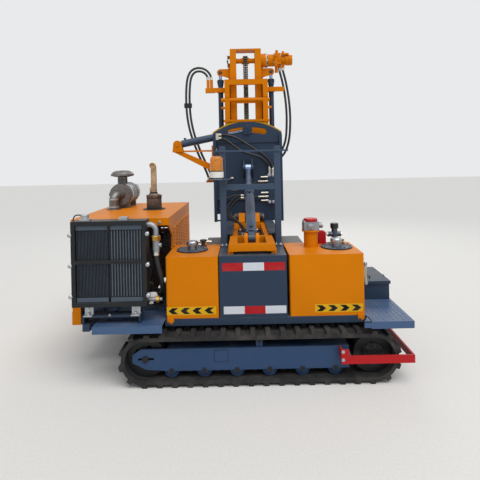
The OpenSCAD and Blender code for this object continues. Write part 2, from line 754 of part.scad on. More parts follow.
module radiator_frame() {
    b = rad_bar;
    x0 = rad_x0;
    x1 = rad_x0 + rad_w;
    y1 = rad_y0 + rad_d;
    xm = (x0 + x1) / 2;
    zm = rad_z0 + rad_h * 0.52;
    color(black) {
        difference() {
            box(x0, x1, rad_y0, y1, rad_z0, rad_z1);
            box(x0 + b, x1 - b, rad_y0 - 1, y1 + 1, rad_z0 + b, rad_z1 - b);
        }
        box(x0 + b - 1, x1 - b + 1, rad_y0 + 2, rad_y0 + 12, zm - 11, zm + 11);
        box(xm - 5, xm + 5, rad_y0 + 2, rad_y0 + 12, rad_z1 - b - 50, rad_z1 - b + 1);
    }
}
// The bolts, cap and feet that hold the radiator
module radiator_brackets() {
    x0 = rad_x0;
    x1 = rad_x0 + rad_w;
    y = rad_y0 + 40;
    color(silver) {
        for (h = rad_bolts) {
            bar_x(x0 - 12, x0, y, rad_z0 + h, 22);
            bar_x(x1, x1 + 12, y, rad_z0 + h, 22);
        }
        box(x0 + 54, x0 + 124, rad_y0 + 20, rad_y0 + 80, rad_z1, rad_z1 + 12);
        bar_z(rad_z1 + 11, rad_z1 + 32, x0 + 86, rad_y0 + 50, 54);
        box(x0 + 330, x0 + 390, rad_y0 + 30, rad_y0 + 80, rad_z1, rad_z1 + 22);
        for (x = [x0 + 83, x0 + 413]) {
            box(x, x + 60, rad_y0 - 10, rad_y0 + 60, stand_z1, stand_z1 + 8);
            box(x, x + 60, rad_y0 + 22, rad_y0 + 30, stand_z1, rad_z0);
        }
    }
}
module radiator_core() {
    b = rad_bar + fit_gap;
    x0 = rad_x0 + b;
    x1 = rad_x0 + rad_w - b;
    xm = (x0 + x1) / 2;
    z0 = rad_z0 + b;
    z1 = rad_z1 - b;
    y0 = rad_y0 + 22;
    gap = 7;
    left_n = 22;
    right_n = 11;
    left_dx = (xm - gap - x0 - 6) / left_n;
    right_dx = (x1 - xm - gap - 6) / right_n;
    color([0.2, 0.22, 0.25]) {
        box(x0, x1, y0 + 8, rad_y0 + rad_d - 8, z0, z1);
        for (x = [[x0, xm - gap], [xm + gap, x1]]) {
            box(x[0], x[1], y0, y0 + 9, z0 + rad_band, z1 - rad_band);
            for (z = [z0, z1 - rad_band]) box(x[0], x[1], y0 - 8, y0 + 9, z, z + rad_band);
        }
        for (i = [0 : left_n - 1])
            box(x0 + 6 + i * left_dx, x0 + 11 + i * left_dx, y0 - 5, y0 + 1,
                z0 + rad_band - 1, z1 - rad_band + 1);
        for (i = [0 : right_n - 1]) box(xm + gap + 8 + i * right_dx, xm + gap + 16 + i * right_dx,
            y0 - 5, y0 + 1, z0 + rad_band - 1, z1 - rad_band + 1);
    }
}
module radiator_stand() {
    y0 = rad_y0 + 10;
    y1 = rad_y0 + rad_d - 10;
    color(slate) {
        box(stand_x0, stand_x1, y0, y1, stand_z1 - 14, stand_z1);
        for (x = [stand_x0, stand_x1 - 12]) box(x, x + 12, y0, y1, deck_top, stand_z1 - 13);
    }
}
// A pipe bend of 90 degrees
module bend(r, d) {
    rotate_extrude(angle = 90) translate([r, 0]) circle(d = d);
}
module radiator_pipes() {
    x1 = rad_x0 + rad_w;
    p = cooler_route[0];
    d = 40;
    r = 44;
    z = 1130;
    x = p[0];
    color(silver) {
        bar_x(x1, x - r, p[1], z, d);
        translate([x - r, p[1], z - r]) rotate([90, 0, 0]) bend(r, d);
        bar_z(1052, z - r, x, p[1], d);
        translate([x, p[1], 1018]) cylinder(d = 58, h = 34, $fn = 6);
        bar_z(p[2] + 14, 1018, x, p[1], 52);
        bar_z(p[2], p[2] + 14, x, p[1], cooler_d + 12);
        bar_x(x + 20, x + 40, p[1] - 4, 984, 30);
        bar_x(x1, x1 + 54, p[1], 600, 30);
        translate([x1 + 54, p[1], 600]) rotate([0, 90, 0]) cylinder(d = 40, h = 22, $fn = 6);
        bar_x(x1 + 76, x1 + 94, p[1], 600, 24);
    }
}
module cooler_hose() {
    color(black) hose(smooth(cooler_route, 3), cooler_d, [1, 0, 0]);
}
module air_cleaner() {
    y1 = cleaner_y0 + cleaner_len;
    reach = intake_stub + intake_r;
    leg_x = cleaner_x - reach * sin(intake_turn);
    leg_y = cleaner_y0 - reach * cos(intake_turn);
    cap_y = cleaner_y0 + 90;
    cap_z = cleaner_z + 169;
    color(black) {
        bar_y(cleaner_y0, y1, cleaner_x, cleaner_z, cleaner_d);
        for (y = [cleaner_y0 + 60, y1 - 70]) {
            bar_y(y, y + 24, cleaner_x, cleaner_z, cleaner_d + 10);
            box(cleaner_x - 70, cleaner_x + 70, y, y + 24, hood_top, cleaner_z - 40);
        }
        translate([cleaner_x, cleaner_y0, cleaner_z]) rotate(-90 - intake_turn) {
            bar_x(-40, intake_stub, 0, 0, intake_d);
            translate([intake_stub, 0, -intake_r]) rotate([90, 0, 0]) bend(intake_r, intake_d);
        }
        bar_z(hood_top, cleaner_z - intake_r, leg_x, leg_y, intake_d);
        bar_z(hood_top, hood_top + 8, leg_x, leg_y, intake_d + 46);
        bar_z(cleaner_z, cap_z, cleaner_x, cap_y, 90);
        translate([cleaner_x, cap_y, cap_z]) rotate_extrude()
            polygon([[0, -6], [62, -6], [rain_cap_d / 2, 6], [rain_cap_d / 2, 22],
                [rain_cap_d / 2 - 22, 44], [60, 54], [0, 58]]);
    }
}
module muffler() {
    r = exhaust_r;
    can_z1 = hood_top + 130;
    mouth_z = exhaust_z + r;
    color(black) {
        bar_z(hood_top, hood_top + 5, muffler_x, muffler_y, muffler_d + 66);
        bar_z(hood_top + 4, can_z1 - 10, muffler_x, muffler_y, muffler_d);
        bar_z(can_z1 - 11, can_z1, muffler_x, muffler_y, muffler_d + 8);
        translate([muffler_x, muffler_y, can_z1]) cylinder(d1 = muffler_d - 8, d2 = exhaust_d + 10, h = 14);
        bar_z(can_z1 + 13, exhaust_z, muffler_x, muffler_y, exhaust_d);
        translate([muffler_x, muffler_y - r, exhaust_z]) rotate([90, 0, 90]) bend(r, exhaust_d);
        difference() {
            bar_y(muffler_y - r - 24, muffler_y - r, muffler_x, mouth_z, exhaust_d);
            bar_y(muffler_y - r - 25, muffler_y - r - 4, muffler_x, mouth_z, exhaust_d - 6);
        }
    }
}
module toolbox() {
    ym = (toolbox_y0 + toolbox_y1) / 2;
    color(slate) {
        difference() {
            box(toolbox_x0, toolbox_x1, toolbox_y0, toolbox_y1, deck_top, toolbox_z1 - fit_gap);
            box(toolbox_x0 + 4, toolbox_x1 - 4, toolbox_y0 + 4, toolbox_y1 - 4, deck_top + 4, toolbox_z1 + 1);
        }
        box(toolbox_x0, knuckle_x, ym - knuckle_hl, ym + knuckle_hl, toolbox_z1 - 12, knuckle_z);
        bar_y(ym - knuckle_hl, ym + knuckle_hl, knuckle_x, knuckle_z, knuckle_d);
    }
}
module toolbox_lid() {
    z = toolbox_z1;
    ym = (toolbox_y0 + toolbox_y1) / 2;
    notch = knuckle_hl + knuckle_gap;
    color(slate) {
        difference() {
            box(knuckle_x, toolbox_x1 + 8, toolbox_y0 - 6, toolbox_y1 + 6, z, z + lid_t);
            box(knuckle_x - 1, knuckle_x + knuckle_d / 2 + 1, ym - notch, ym + notch, z - 1, z + lid_t + 1);
        }
        bar_y(toolbox_y0 + 30, ym - notch, knuckle_x, knuckle_z, knuckle_d);
        bar_y(ym + notch, toolbox_y1 - 30, knuckle_x, knuckle_z, knuckle_d);
        for (y = [toolbox_y0 - 12, toolbox_y1 + 6])
            box(knuckle_x + 8, toolbox_x1 + 8, y, y + 6, z - 14, z + lid_t);
    }
    color(silver) bar_x(toolbox_x1 + 6, machine_x1 - 0.5, ym - 60, z + 2, 20);
}
module portal_frame() {
    y1 = portal_y0 + post_w;
    outer = housing_w / 2;
    inner = outer - post_w;
    color(steel_blue) {
        mirrored_x(mast_x) {
            soft_box(mast_x + inner, mast_x + outer, portal_y0, y1, tank_z1, post_top - 14, 6);
            bar_z(post_top - 16, post_top, mast_x + outer - post_w / 2, portal_y0 + post_w / 2, post_w - 6);
            box(mast_x + inner - 8, mast_x + outer, portal_y0 - 24, y1 + 6, tank_z1, tank_z1 + 10);
        }
        box(mast_x - inner - 1, mast_x + inner + 1, portal_y0 + 3, y1 - 3, 1337, 1381);
        box(mast_x - outer - 46, mast_x + outer + 65, portal_y0 - 10, portal_y0, 1642, 1656);
        box(beacon_x - 47, mast_x - outer + 84, beacon_y - 50, portal_y0, beacon_z - 8, beacon_z);
    }
}
module beacon_base() {
    color("white") bar_z(beacon_z, beacon_z + 64, beacon_x, beacon_y, beacon_d);
}
module beacon_dome() {
    r = beacon_d / 2 - 3;
    color([1, 0.55, 0.05]) translate([beacon_x, beacon_y, beacon_z + 64]) {
        rotate_extrude() intersection() {
            square([r, 118]);
            union() {
                square([r, 96]);
                square([r - 22, 118]);
                translate([r - 22, 96]) circle(r = 22);
            }
        }
    }
}
module valve_covers() {
    y0 = tank_y1 + 14;
    y1 = housing_y1 - 115;
    z1 = tank_z1 - 46;
    color(black) for (x = [[housing_x0 - 152, housing_x0 - 5], [housing_x1 + 20, housing_x1 + 217]])
        difference() {
            box(x[0], x[1], y0, y1, deck_top, z1);
            for (i = [0 : 5])
                box(x[0] + 22, x[1] - 22, y1 - 12, y1 + 1, deck_top + 70 + i * 50, deck_top + 86 + i * 50);
        }
}
module control_valves() {
    z = tank_z1;
    x = valve_x + 60;
    y = valve_y + 4;
    color(steel_blue) {
        bar_z(z, z + 40, x, y, 60);
        bar_z(z + 39, z + 121, x, y, 48);
        bar_x(x - 52, x + 48, y, z + 72, 40);
        bar_z(z + 120, z + 160, x, y, 62);
        bar_z(z, z + 34, fuel_hatch_x + 70, valve_y, 36);
        bar_x(fuel_hatch_x + 20, fuel_hatch_x + 120, valve_y, z + 30, 24);
    }
}

// The clevis lugs that carry one end of a cylinder, about the point (y, z)
module lug_pair(y, z, r, inner, t, bore, tail) {
    mirrored_x(mast_x) solid_x(mast_x + inner, mast_x + inner + t) difference() {
        union() {
            translate([y, z]) circle(r = r);
            polygon(tail);
        }
        translate([y, z]) circle(d = bore);
    }
}
module slide_frame() {
    rail = 62;
    y1 = housing_y1;
    cross = [slide_y0, portal_y0 + 20, y1 - 75];
    color(orange) {
        mirrored_x(mast_x) {
            box(mast_x + slide_hw - rail, mast_x + slide_hw, slide_y0, y1, slide_z0, slide_z1);
            box(mast_x + slide_hw - 30, mast_x + slide_hw + 10, slide_y0 + 10, y1,
                tank_z1 + fit_gap, slide_z0 + 12);
        }
        for (y = cross) box(mast_x - slide_hw + 1, mast_x + slide_hw - 1, y, y + 60, slide_z0 + 2, slide_z1 - 2);
        box(mast_x - slide_hw + 1, mast_x + slide_hw - 1, clevis_y - 45, clevis_y + 45, slide_z0, slide_z1 - 30);
        lug_pair(clevis_y, clevis_z, 38, 30, 26, eye_pin_d, [[clevis_y - 55, slide_z1 - 34],
            [clevis_y + 55, slide_z1 - 34], [clevis_y + 36, clevis_z + 10], [clevis_y - 36, clevis_z + 10]]);
        lug_pair(tilt_y, tilt_z, hinge_r, 42 + fit_gap, 60, tilt_pin_d, [[y1 - 74, slide_z0 + 2],
            [tilt_y, slide_z0 + 2], [tilt_y + hinge_r * 0.8, tilt_z - hinge_r * 0.6], [tilt_y, tilt_z],
            [tilt_y - 10, tilt_z + hinge_r - 1], [y1 - 74, slide_z1 + 20]]);
    }
    color(silver) {
        bar_x(mast_x - 62, mast_x + 62, clevis_y, clevis_z, eye_pin_d);
        bar_x(mast_x - 148, mast_x + 148, tilt_y, tilt_z, tilt_pin_d);
    }
}

module crown_outline(extra) {
    zc = crown_z - crown_r;
    intersection() {
        translate([mast_x, zc]) circle(r = crown_r + extra, $fn = 120);
        translate([mast_x - plate_hw, plate_z0]) square([2 * plate_hw, crown_z + extra - plate_z0]);
    }
    translate([mast_x - plate_hw, plate_z0]) square([2 * plate_hw, zc + 200 - plate_z0]);
}
// A curved slot about the swing axis, as far each way as half
module slot_outline(w, half) {
    intersection() {
        translate([mast_x, swing_z]) difference() {
            circle(r = slot_r + w / 2, $fn = 160);
            circle(r = slot_r - w / 2, $fn = 160);
        }
        translate([mast_x, swing_z]) polygon([[0, 0], [-1000 * sin(half), 1000 * cos(half)],
            [0, 1100], [1000 * sin(half), 1000 * cos(half)]]);
    }
    for (s = [-1, 1]) translate([mast_x + s * slot_r * sin(half), swing_z + slot_r * cos(half)])
        circle(d = w);
}
module back_plate() {
    bore = tilt_pin_d + 0.2;
    color(slate) difference() {
        union() {
            solid_y(plate_y0, plate_y1) difference() {
                crown_outline(0);
                slot_outline(slot_w, swing_deg);
                mirrored_x(mast_x) translate([mast_x + 290, plate_z0 + 14]) square([40, 60]);
            }
            solid_y(plate_y0 - doubler_t, plate_y0 + 1) difference() {
                intersection() {
                    crown_outline(0);
                    translate([mast_x - plate_hw, doubler_z0]) square([2 * plate_hw, 300]);
                }
                slot_outline(slot_w, swing_deg);
            }
            bar_y(plate_y0 - 16, plate_y0 + 1, mast_x, swing_z, pivot_d + 26);
            box(manifold_x, manifold_x + 60, plate_y0 - 42, plate_y0 + 1, manifold_z0, manifold_z1);
            mirrored_x(mast_x) box(mast_x + plate_hw - side_bar_w, mast_x + plate_hw, plate_y0 - 40, plate_y0 + 1,
                plate_z0, crown_z - crown_r + 440);
            box(mast_x - plate_hw + 2, mast_x + 110, plate_y0 - 26, plate_y0 + 1, 1180, 1200);
            lug_pair(upper_pin_y, upper_pin_z, 42, 30, 20, eye_pin_d, [[plate_y0 + 2, upper_pin_z - 110],
                [plate_y0 + 2, upper_pin_z + 90], [upper_pin_y, upper_pin_z + 42],
                [upper_pin_y - 30, upper_pin_z - 30]]);
            for (ear = [[-42, 42, 34], [-140, -103, 40], [103, 140, 40]])
                solid_x(mast_x + ear[0], mast_x + ear[1]) {
                    translate([tilt_y, tilt_z]) circle(r = ear[2]);
                    translate([tilt_y, tilt_z - 38]) square([plate_y0 + 4 - tilt_y, 58]);
                }
        }
        bar_x(mast_x - 150, mast_x + 150, tilt_y, tilt_z, bore);
        bar_y(plate_y0 - 17, plate_y1 + 1, mast_x, swing_z, pivot_d + 0.2);
    }
    color(silver) bar_x(mast_x - 56, mast_x + 56, upper_pin_y, upper_pin_z, eye_pin_d);
}
module swing_bracket() {
    x1 = mast_x - plate_hw - fit_gap;
    y0 = swing_cyl_y - 25;
    y1 = swing_cyl_y + 25;
    bx = swing_base_x;
    bz = swing_base_z;
    z0 = bracket_z0;
    color(orange) {
        box(bx - 52, x1, y0, y1, z0, z0 + 16);
        solid_y(y0, y1) polygon([[bx - 40, z0 + 2], [bx + 52, z0 + 2], [x1, bz - 214], [x1, bz - 287]]);
        box(x1 - 14, x1, plate_y0 - 30, y1, bz - 300, z0 + 60);
        for (y = [y0 - 11, y1 - 3]) solid_y(y, y + 14) difference() {
            union() {
                translate([bx, bz]) circle(r = 44);
                polygon([[bx - 52, z0], [bx + 60, z0], [bx + 42, bz], [bx - 42, bz]]);
            }
            translate([bx, bz]) circle(d = eye_pin_d);
        }
    }
    color(silver) bar_y(y0 - 18, y1 + 18, bx, bz, eye_pin_d);
}
module hose_fittings() {
    x = manifold_x;
    y = plate_y0 - 20;
    p = plate_route_1[0];
    color(silver) {
        box(p[0] - 28, p[0], p[1] - 18, plate_y0 - doubler_t, p[2] - 50, p[2] + 16);
        for (z = fitting_z) {
            bar_x(x - 30, x, y, z, 26);
            bar_x(x - 74, x - 29, y, z, 20);
        }
        for (r = [plate_route_1, plate_route_2]) {
            e = r[len(r) - 1];
            bar_z(manifold_z1, e[2], e[0], e[1], 28);
        }
    }
}

// A cylinder barrel along +X from its base eye, in its own frame
module barrel(len, d, rod_d, eye_w, pin_d, head_d) {
    difference() {
        union() {
            rotate([90, 0, 0]) translate([0, 0, -eye_w / 2]) cylinder(r = d / 2 - 8, h = eye_w);
            translate([0, -eye_w / 2, -d / 3]) cube([d / 2 + 12, eye_w, d / 1.5]);
            translate([d / 2 + 8, 0, 0]) rotate([0, 90, 0]) cylinder(d = d, h = len - d / 2 - 8);
            translate([len - 44, 0, 0]) rotate([0, 90, 0]) cylinder(d = head_d, h = 44);
        }
        rotate([90, 0, 0]) translate([0, 0, -eye_w]) cylinder(d = pin_d + 0.2, h = 2 * eye_w);
        translate([d + 25, 0, 0]) rotate([0, 90, 0]) cylinder(d = rod_d + 2 * fit_gap, h = len);
    }
    for (x = [d + 10, len - 60]) translate([x, 0, d / 2 - 4]) cylinder(d = 26, h = 22);
}
// A cylinder rod that ends at its eye, which is len away from the barrel's eye
module piston_rod(len, start, rod_d, eye_w, eye_r, eye_bore) {
    difference() {
        union() {
            translate([start, 0, 0]) rotate([0, 90, 0]) cylinder(d = rod_d, h = len - start - eye_r + 4);
            translate([len, 0, 0]) rotate([90, 0, 0]) translate([0, 0, -eye_w / 2])
                cylinder(r = eye_r, h = eye_w);
        }
        translate([len, 0, 0]) rotate([90, 0, 0]) translate([0, 0, -eye_w])
            cylinder(d = eye_bore, h = 2 * eye_w);
    }
}
tilt_len = norm([upper_pin_y - clevis_y, upper_pin_z - clevis_z]);
tilt_rise = atan2(upper_pin_z - clevis_z, upper_pin_y - clevis_y);
swing_len = norm([mast_x - swing_base_x, slot_z - swing_base_z]);
swing_rise = atan2(slot_z - swing_base_z, mast_x - swing_base_x);
module at_tilt_cylinder() {
    translate([mast_x, clevis_y, clevis_z]) rotate([tilt_rise, 0, 0]) rotate([0, 0, 90]) children();
}
module at_swing_cylinder() {
    translate([swing_base_x, swing_cyl_y, swing_base_z]) rotate([0, -swing_rise, 0]) children();
}
module tilt_barrel() {
    color(steel_blue) at_tilt_cylinder() barrel(tilt_barrel_len, tilt_barrel_d, tilt_rod_d, 50, eye_pin_d,
        tilt_barrel_d + 10);
}
module tilt_rod() {
    color(silver) at_tilt_cylinder()
        piston_rod(tilt_len, tilt_barrel_d + 110, tilt_rod_d, 52, 42, eye_pin_d + 14);
}
module swing_barrel() {
    color(steel_blue) at_swing_cylinder()
        barrel(swing_barrel_len, swing_barrel_d, swing_rod_d, 43.4, eye_pin_d, swing_barrel_d + 4);
}
module swing_rod() {
    color(silver) at_swing_cylinder()
        piston_rod(swing_len, swing_barrel_d + 200, swing_rod_d, 44, 52, eye_pin_d + 26);
}

module mast_guide() {
    rx0 = mast_x + guide_rail_x;
    rx1 = mast_x + guide_hw;
    y0 = guide_y0;
    rail_y1 = flange_y0 - 5;
    pin_y1 = plate_y0 - doubler_t - 2;
    color(orange) difference() {
        union() {
            mirrored_x(mast_x) {
                box(rx0, rx1, y0, rail_y1, guide_z0, guide_top);
                for (z = [1240, 2230]) {
                    box(mast_x + flange_x + 6, rx1, rail_y1 - 1, claw_y1, z, z + 100);
                    box(rx0, rx1, flange_y1 + 5, claw_y1, z, z + 100);
                }
                box(rx1 - 1, mast_x + lift_x + 32, lift_y - 40, lift_y + 30, lift_z0 - 40, lift_z0 - fit_gap);
                box(rx1 - 1, mast_x + lift_x - 20, rail_y1 - 40, lift_y - 20, lift_z0 - 120, lift_z0 - fit_gap);
                box(rx1 - 1, mast_x + 404, rail_y1 - 30, rail_y1 - 6, arm_z - 23, arm_z + 24);
                box(rx1 - 1, mast_x + lift_x + 20, rail_y1 - 30, lift_y - 20, arm_z - 23, arm_z + 24);
                bar_z(arm_z - 23, arm_z + 24, mast_x + lift_x, lift_y, lift_barrel_d + 24);
                bar_x(rx1 - 1, mast_x + 262, y0 + 30, 2128, 24);
            }
            for (z = [[guide_z0, 1190], [1480, 1540], [2365, guide_top]])
                box(mast_x - guide_hw + 1, mast_x + guide_hw - 1, y0, y0 + 40, z[0], z[1]);
            box(mast_x - guide_hw - 13, mast_x + guide_hw + 13, y0 - 6, y0 + 30, 1978, 2002);
            box(mast_x - 430, mast_x - 330, rail_y1 - 30, rail_y1 + 25, arm_z - 23, arm_z + 24);
            for (p = [loop_route_1[0], loop_route_2[0]]) bar_z(arm_z + 20, p[2], p[0], p[1], 32);
            box(mast_x - 440, 1 - rx1 + 2 * mast_x, rail_y1 - 42, rail_y1 - 18, loop_end_z - 22, loop_end_z);
            box(mast_x - 440, mast_x - 350, rail_y1 - 42, rail_y1 + 20, loop_end_z - 22, loop_end_z);
            solid_y(y0, y0 + 12) intersection() {
                crown_outline(25);
                translate([mast_x - plate_hw, 1700]) square([2 * plate_hw, 300]);
            }
            bar_y(plate_y1 + fit_gap, y0 + 1, mast_x, swing_z, 200);
            bar_y(plate_y0 - 20, plate_y1 + 1, mast_x, swing_z, pivot_d);
            bar_y(plate_y0 - 26, plate_y0 - 18, mast_x, swing_z, pivot_d + 8);
            bar_x(mast_x - 262, mast_x + 242, y0 + 20, 2208, 42);
            bar_y(pin_y1 - 1, y0 + 1, mast_x, slot_z, eye_pin_d);
            bar_y(pin_y1 - pin_head_t, pin_y1, mast_x, slot_z, 98);
        }
        mirrored_x(mast_x) {
            bar_z(arm_z - 30, arm_z + 30, mast_x + lift_x, lift_y, lift_barrel_d + 2 * fit_gap);
        }
    }
}
module lift_barrels() {
    color(slate) mirrored_x(mast_x) difference() {
        union() {
            bar_z(lift_z0, lift_z1, mast_x + lift_x, lift_y, lift_barrel_d);
            bar_z(lift_z1 - 60, lift_z1, mast_x + lift_x, lift_y, lift_barrel_d + 10);
        }
        bar_z(lift_z0 + 30, lift_z1 + 1, mast_x + lift_x, lift_y, lift_rod_d + 2 * fit_gap);
    }
}
module lift_rods() {
    color(silver) mirrored_x(mast_x)
        bar_z(lift_z0 + 40, lug_z - 36 - fit_gap, mast_x + lift_x, lift_y, lift_rod_d);
}
module mast() {
    t = 12;
    inner = mast_hw - channel_w;
    color(orange) difference() {
        union() {
            mirrored_x(mast_x) {
                difference() {
                    box(mast_x + inner, mast_x + mast_hw, mast_y0, mast_y1, mast_z0, mast_top - 16);
                    box(mast_x + inner - 1, mast_x + mast_hw - t, mast_y0 + t, mast_y1 - t,
                        mast_z0 - 1, mast_top);
                }
                box(mast_x + mast_hw - 1, mast_x + flange_x, flange_y0, flange_y1, mast_z0, mast_top - 60);
                solid_y(lift_y - 13, lift_y + 13) difference() {
                    union() {
                        polygon([[mast_x + mast_hw - 2, lug_z - 64], [mast_x + lift_x - 20, lug_z - 36],
                            [mast_x + lift_x, lug_z - 36], [mast_x + lift_x, lug_z + 36],
                            [mast_x + mast_hw - 2, lug_z + 36]]);
                        translate([mast_x + lift_x, lug_z]) circle(d = 72);
                    }
                    translate([mast_x + lift_x, lug_z]) circle(d = 22);
                }
            }
            for (z = [mast_z0, 860, 1300, 1740, 2180])
                box(mast_x - inner - 1, mast_x + inner + 1, mast_y0, mast_y0 + t / 2, z, z + 60);
            box(mast_x - mast_hw, mast_x + mast_hw, mast_y0, mast_y1, mast_top - 16.5, mast_top);
            bar_x(mast_x + mast_hw - 1, mast_x + flange_x, mast_yc, sprocket_z, 140);
            end = motor_route_2[len(motor_route_2) - 1];
            box(mast_x + flange_x - 1, end[0], flange_y0 + 4, flange_y1 + 24, end[2] - 64, end[2] + 18);
            box(end[0] - 28, end[0], flange_y0 + 4, end[1] + 15, end[2] - 64, end[2] + 18);
            box(mast_x - inner - 1, mast_x + inner + 1, mast_y0, mast_y1, mast_z0, mast_z0 + 12);
        }
        mirrored_x(mast_x) for (z = [sprocket_z, foot_sprocket_z])
            bar_x(mast_x + inner - 2, mast_x + mast_hw + 30, mast_yc, z, 52.6);
    }
}
module head_sprocket() {
    inner = mast_hw - channel_w;
    color(orange) for (z = [sprocket_z, foot_sprocket_z]) {
        bar_x(mast_x - mast_hw - 2, mast_x + mast_hw + 2, mast_yc, z, 52);
        bar_x(mast_x - 40, mast_x + 40, mast_yc, z, 70);
        for (x = [-17, 17]) solid_x(mast_x + x - 5, mast_x + x + 5) translate([mast_yc, z]) {
            circle(r = chain_r - 12);
            for (k = [0 : 11]) rotate(k * 30) translate([chain_r - 14, -4]) square([7.7, 8]);
        }
    }
}
// One row of the chain as a closed loop
module chain_band(w) {
    r = chain_r;
    span = sprocket_z - foot_sprocket_z;
    translate([mast_yc, 0]) difference() {
        union() {
            for (z = [foot_sprocket_z, sprocket_z]) translate([0, z]) circle(r = r + w / 2);
            translate([-r - w / 2, foot_sprocket_z]) square([2 * r + w, span]);
        }
        for (z = [foot_sprocket_z, sprocket_z]) translate([0, z]) circle(r = r - w / 2);
        translate([-r + w / 2, foot_sprocket_z]) square([2 * r - w, span]);
    }
}
// The links along both straight runs, as thicker steps of the band
module chain_links(w) {
    n = floor((sprocket_z - foot_sprocket_z) / chain_pitch);
    for (s = [-1, 1]) for (i = [0 : n - 1])
        translate([mast_yc + s * chain_r - w / 2 - 4, foot_sprocket_z + (i + 0.25) * chain_pitch])
            square([w + 8, chain_pitch / 2]);
}
module mast_chain() {
    span = sprocket_z - foot_sprocket_z;
    color(black) {
        for (x = [-21, 21]) solid_x(mast_x + x - 4, mast_x + x + 4) chain_band(12);
        solid_x(mast_x - 4, mast_x + 4) {
            chain_band(12);
            chain_links(12);
        }
        solid_x(mast_x - 22, mast_x + 22) translate([mast_yc, foot_sprocket_z]) for (s = [-1, 1])
            translate([s * chain_r - 3, 0]) square([6, span]);
    }
}
module drive_motor() {
    x = mast_x + flange_x;
    color(orange) {
        bar_x(x, x + 40, mast_yc, sprocket_z, 148);
        bar_x(x + 40, x + 118, mast_yc, sprocket_z, 128);
        box(x + 118, x + 150, mast_yc - 58, mast_yc + 58, sprocket_z - 50, sprocket_z + 60);
        bar_x(x + 150, x + 240, mast_yc, sprocket_z, 92);
        bar_x(x + 240, x + 312, mast_yc, sprocket_z, 110);
    }
    color(black) {
        bar_z(sprocket_z - 130, sprocket_z - 40, x + 146, mast_yc, 34);
        for (p = [motor_route_1[0], motor_route_2[0]]) bar_z(p[2], sprocket_z - 30, p[0], p[1], 34);
    }
}
module hammer_carriage() {
    cheek = mast_hw + move_gap;
    y0 = carriage_y0;
    y1 = hammer_y0;
    color(slate) {
        difference() {
            box(mast_x - cheek - 26, mast_x + cheek + 26, y0, y1, carriage_z0, carriage_z1);
            for (z = [carriage_z0 + 130, carriage_z0 + 400])
                solid_y(y0 - 1, y1 + 1) round_rect(mast_x - 70, mast_x + 70, z, z + 170, 20);
        }
        mirrored_x(mast_x) for (z = [carriage_z0 + 10, carriage_z1 - 150])
            box(mast_x + cheek, mast_x + cheek + 26, claw_y1 + move_gap, y0 + 1, z, z + 140);
        box(mast_x - 22, mast_x + 22, mast_yc + chain_r + 10 + fit_gap, y0 + 1, 1440, 1520);
    }
}
module hammer() {
    hw = hammer_w / 2;
    y0 = hammer_y0;
    y1 = hammer_y1;
    t = 30;
    color(orange) {
        mirrored_x(mast_x) solid_x(mast_x + hw - t, mast_x + hw) difference() {
            polygon([[y0, hammer_z0 + 60], [y0 + 60, hammer_z0], [y1 - 120, hammer_z0], [y1, hammer_z0 + 160],
                [y1, hammer_z1 - 160], [y1 - 140, hammer_z1], [y0 + 60, hammer_z1], [y0, hammer_z1 - 60]]);
            for (z = [hammer_z0 + 200, hammer_z0 + 480, hammer_z0 + 760])
                round_rect(y0 + 110, y0 + 270, z, z + 120, 30);
        }
        box(mast_x - hw + t - 1, mast_x + hw - t + 1, y1 - t, y1, hammer_z0 + 170, hammer_z1 - 170);
        box(mast_x - hw + t - 1, mast_x + hw - t + 1, y0, y0 + 20, hammer_z0 + 80, hammer_z1 - 80);
    }
    color(black) {
        box(mast_x - hw + t - 1, mast_x + hw - t + 1, y0 + 70, y0 + 310, hammer_z0 + 150, hammer_z1 - 220);
        bar_z(hammer_z1 - 221, hammer_z1 - 60, mast_x, hammer_yc, 190);
        bar_z(hammer_z0 - 30, hammer_z0 + 151, mast_x, hammer_yc, 200);
    }
}
module drive_cap() {
    z1 = hammer_z0 - 30;
    color(steel_blue) difference() {
        translate([mast_x, hammer_yc, 0]) rotate_extrude() polygon([[0, z1 - 300], [cap_d / 2, z1 - 300],
            [cap_d / 2, z1 - 150], [70, z1 - 110], [55, z1 - 100], [55, z1], [0, z1]]);
        bar_z(z1 - 301, z1 - 190, mast_x, hammer_yc, socket_d);
    }
}

// Unit direction of a route at its point i, square to an axis at both ends
function along(p, i) = let (a = p[max(i - 1, 0)], b = p[min(i + 1, len(p) - 1)], d = (b - a) / norm(b - a))
    i == 0 || i == len(p) - 1 ? squared(d) : d;
function squared(d) = let (m = max(abs(d[0]), abs(d[1]), abs(d[2]))) [for (c = d) abs(c) == m ? sign(c) : 0];
function side_of(d, ref) = let (s = cross(d, ref)) s / norm(s);
// A hose swept along its route as one closed tube of eight sides
module hose(route, d, ref = [0, 1, 0]) {
    n = 8;
    m = len(route);
    pts = [for (i = [0 : m - 1]) let (t = along(route, i), s = side_of(t, ref), u = cross(t, s))
        for (k = [0 : n - 1]) route[i] + d / 2 * (cos(k * 45) * s + sin(k * 45) * u)];
    sides = [for (i = [0 : m - 2]) for (k = [0 : n - 1])
        [i * n + k, i * n + (k + 1) % n, (i + 1) * n + (k + 1) % n, (i + 1) * n + k]];
    low = [[for (k = [0 : n - 1]) n - 1 - k]];
    high = [[for (k = [0 : n - 1]) (m - 1) * n + k]];
    polyhedron(points = pts, faces = concat(low, sides, high), convexity = 6);
}
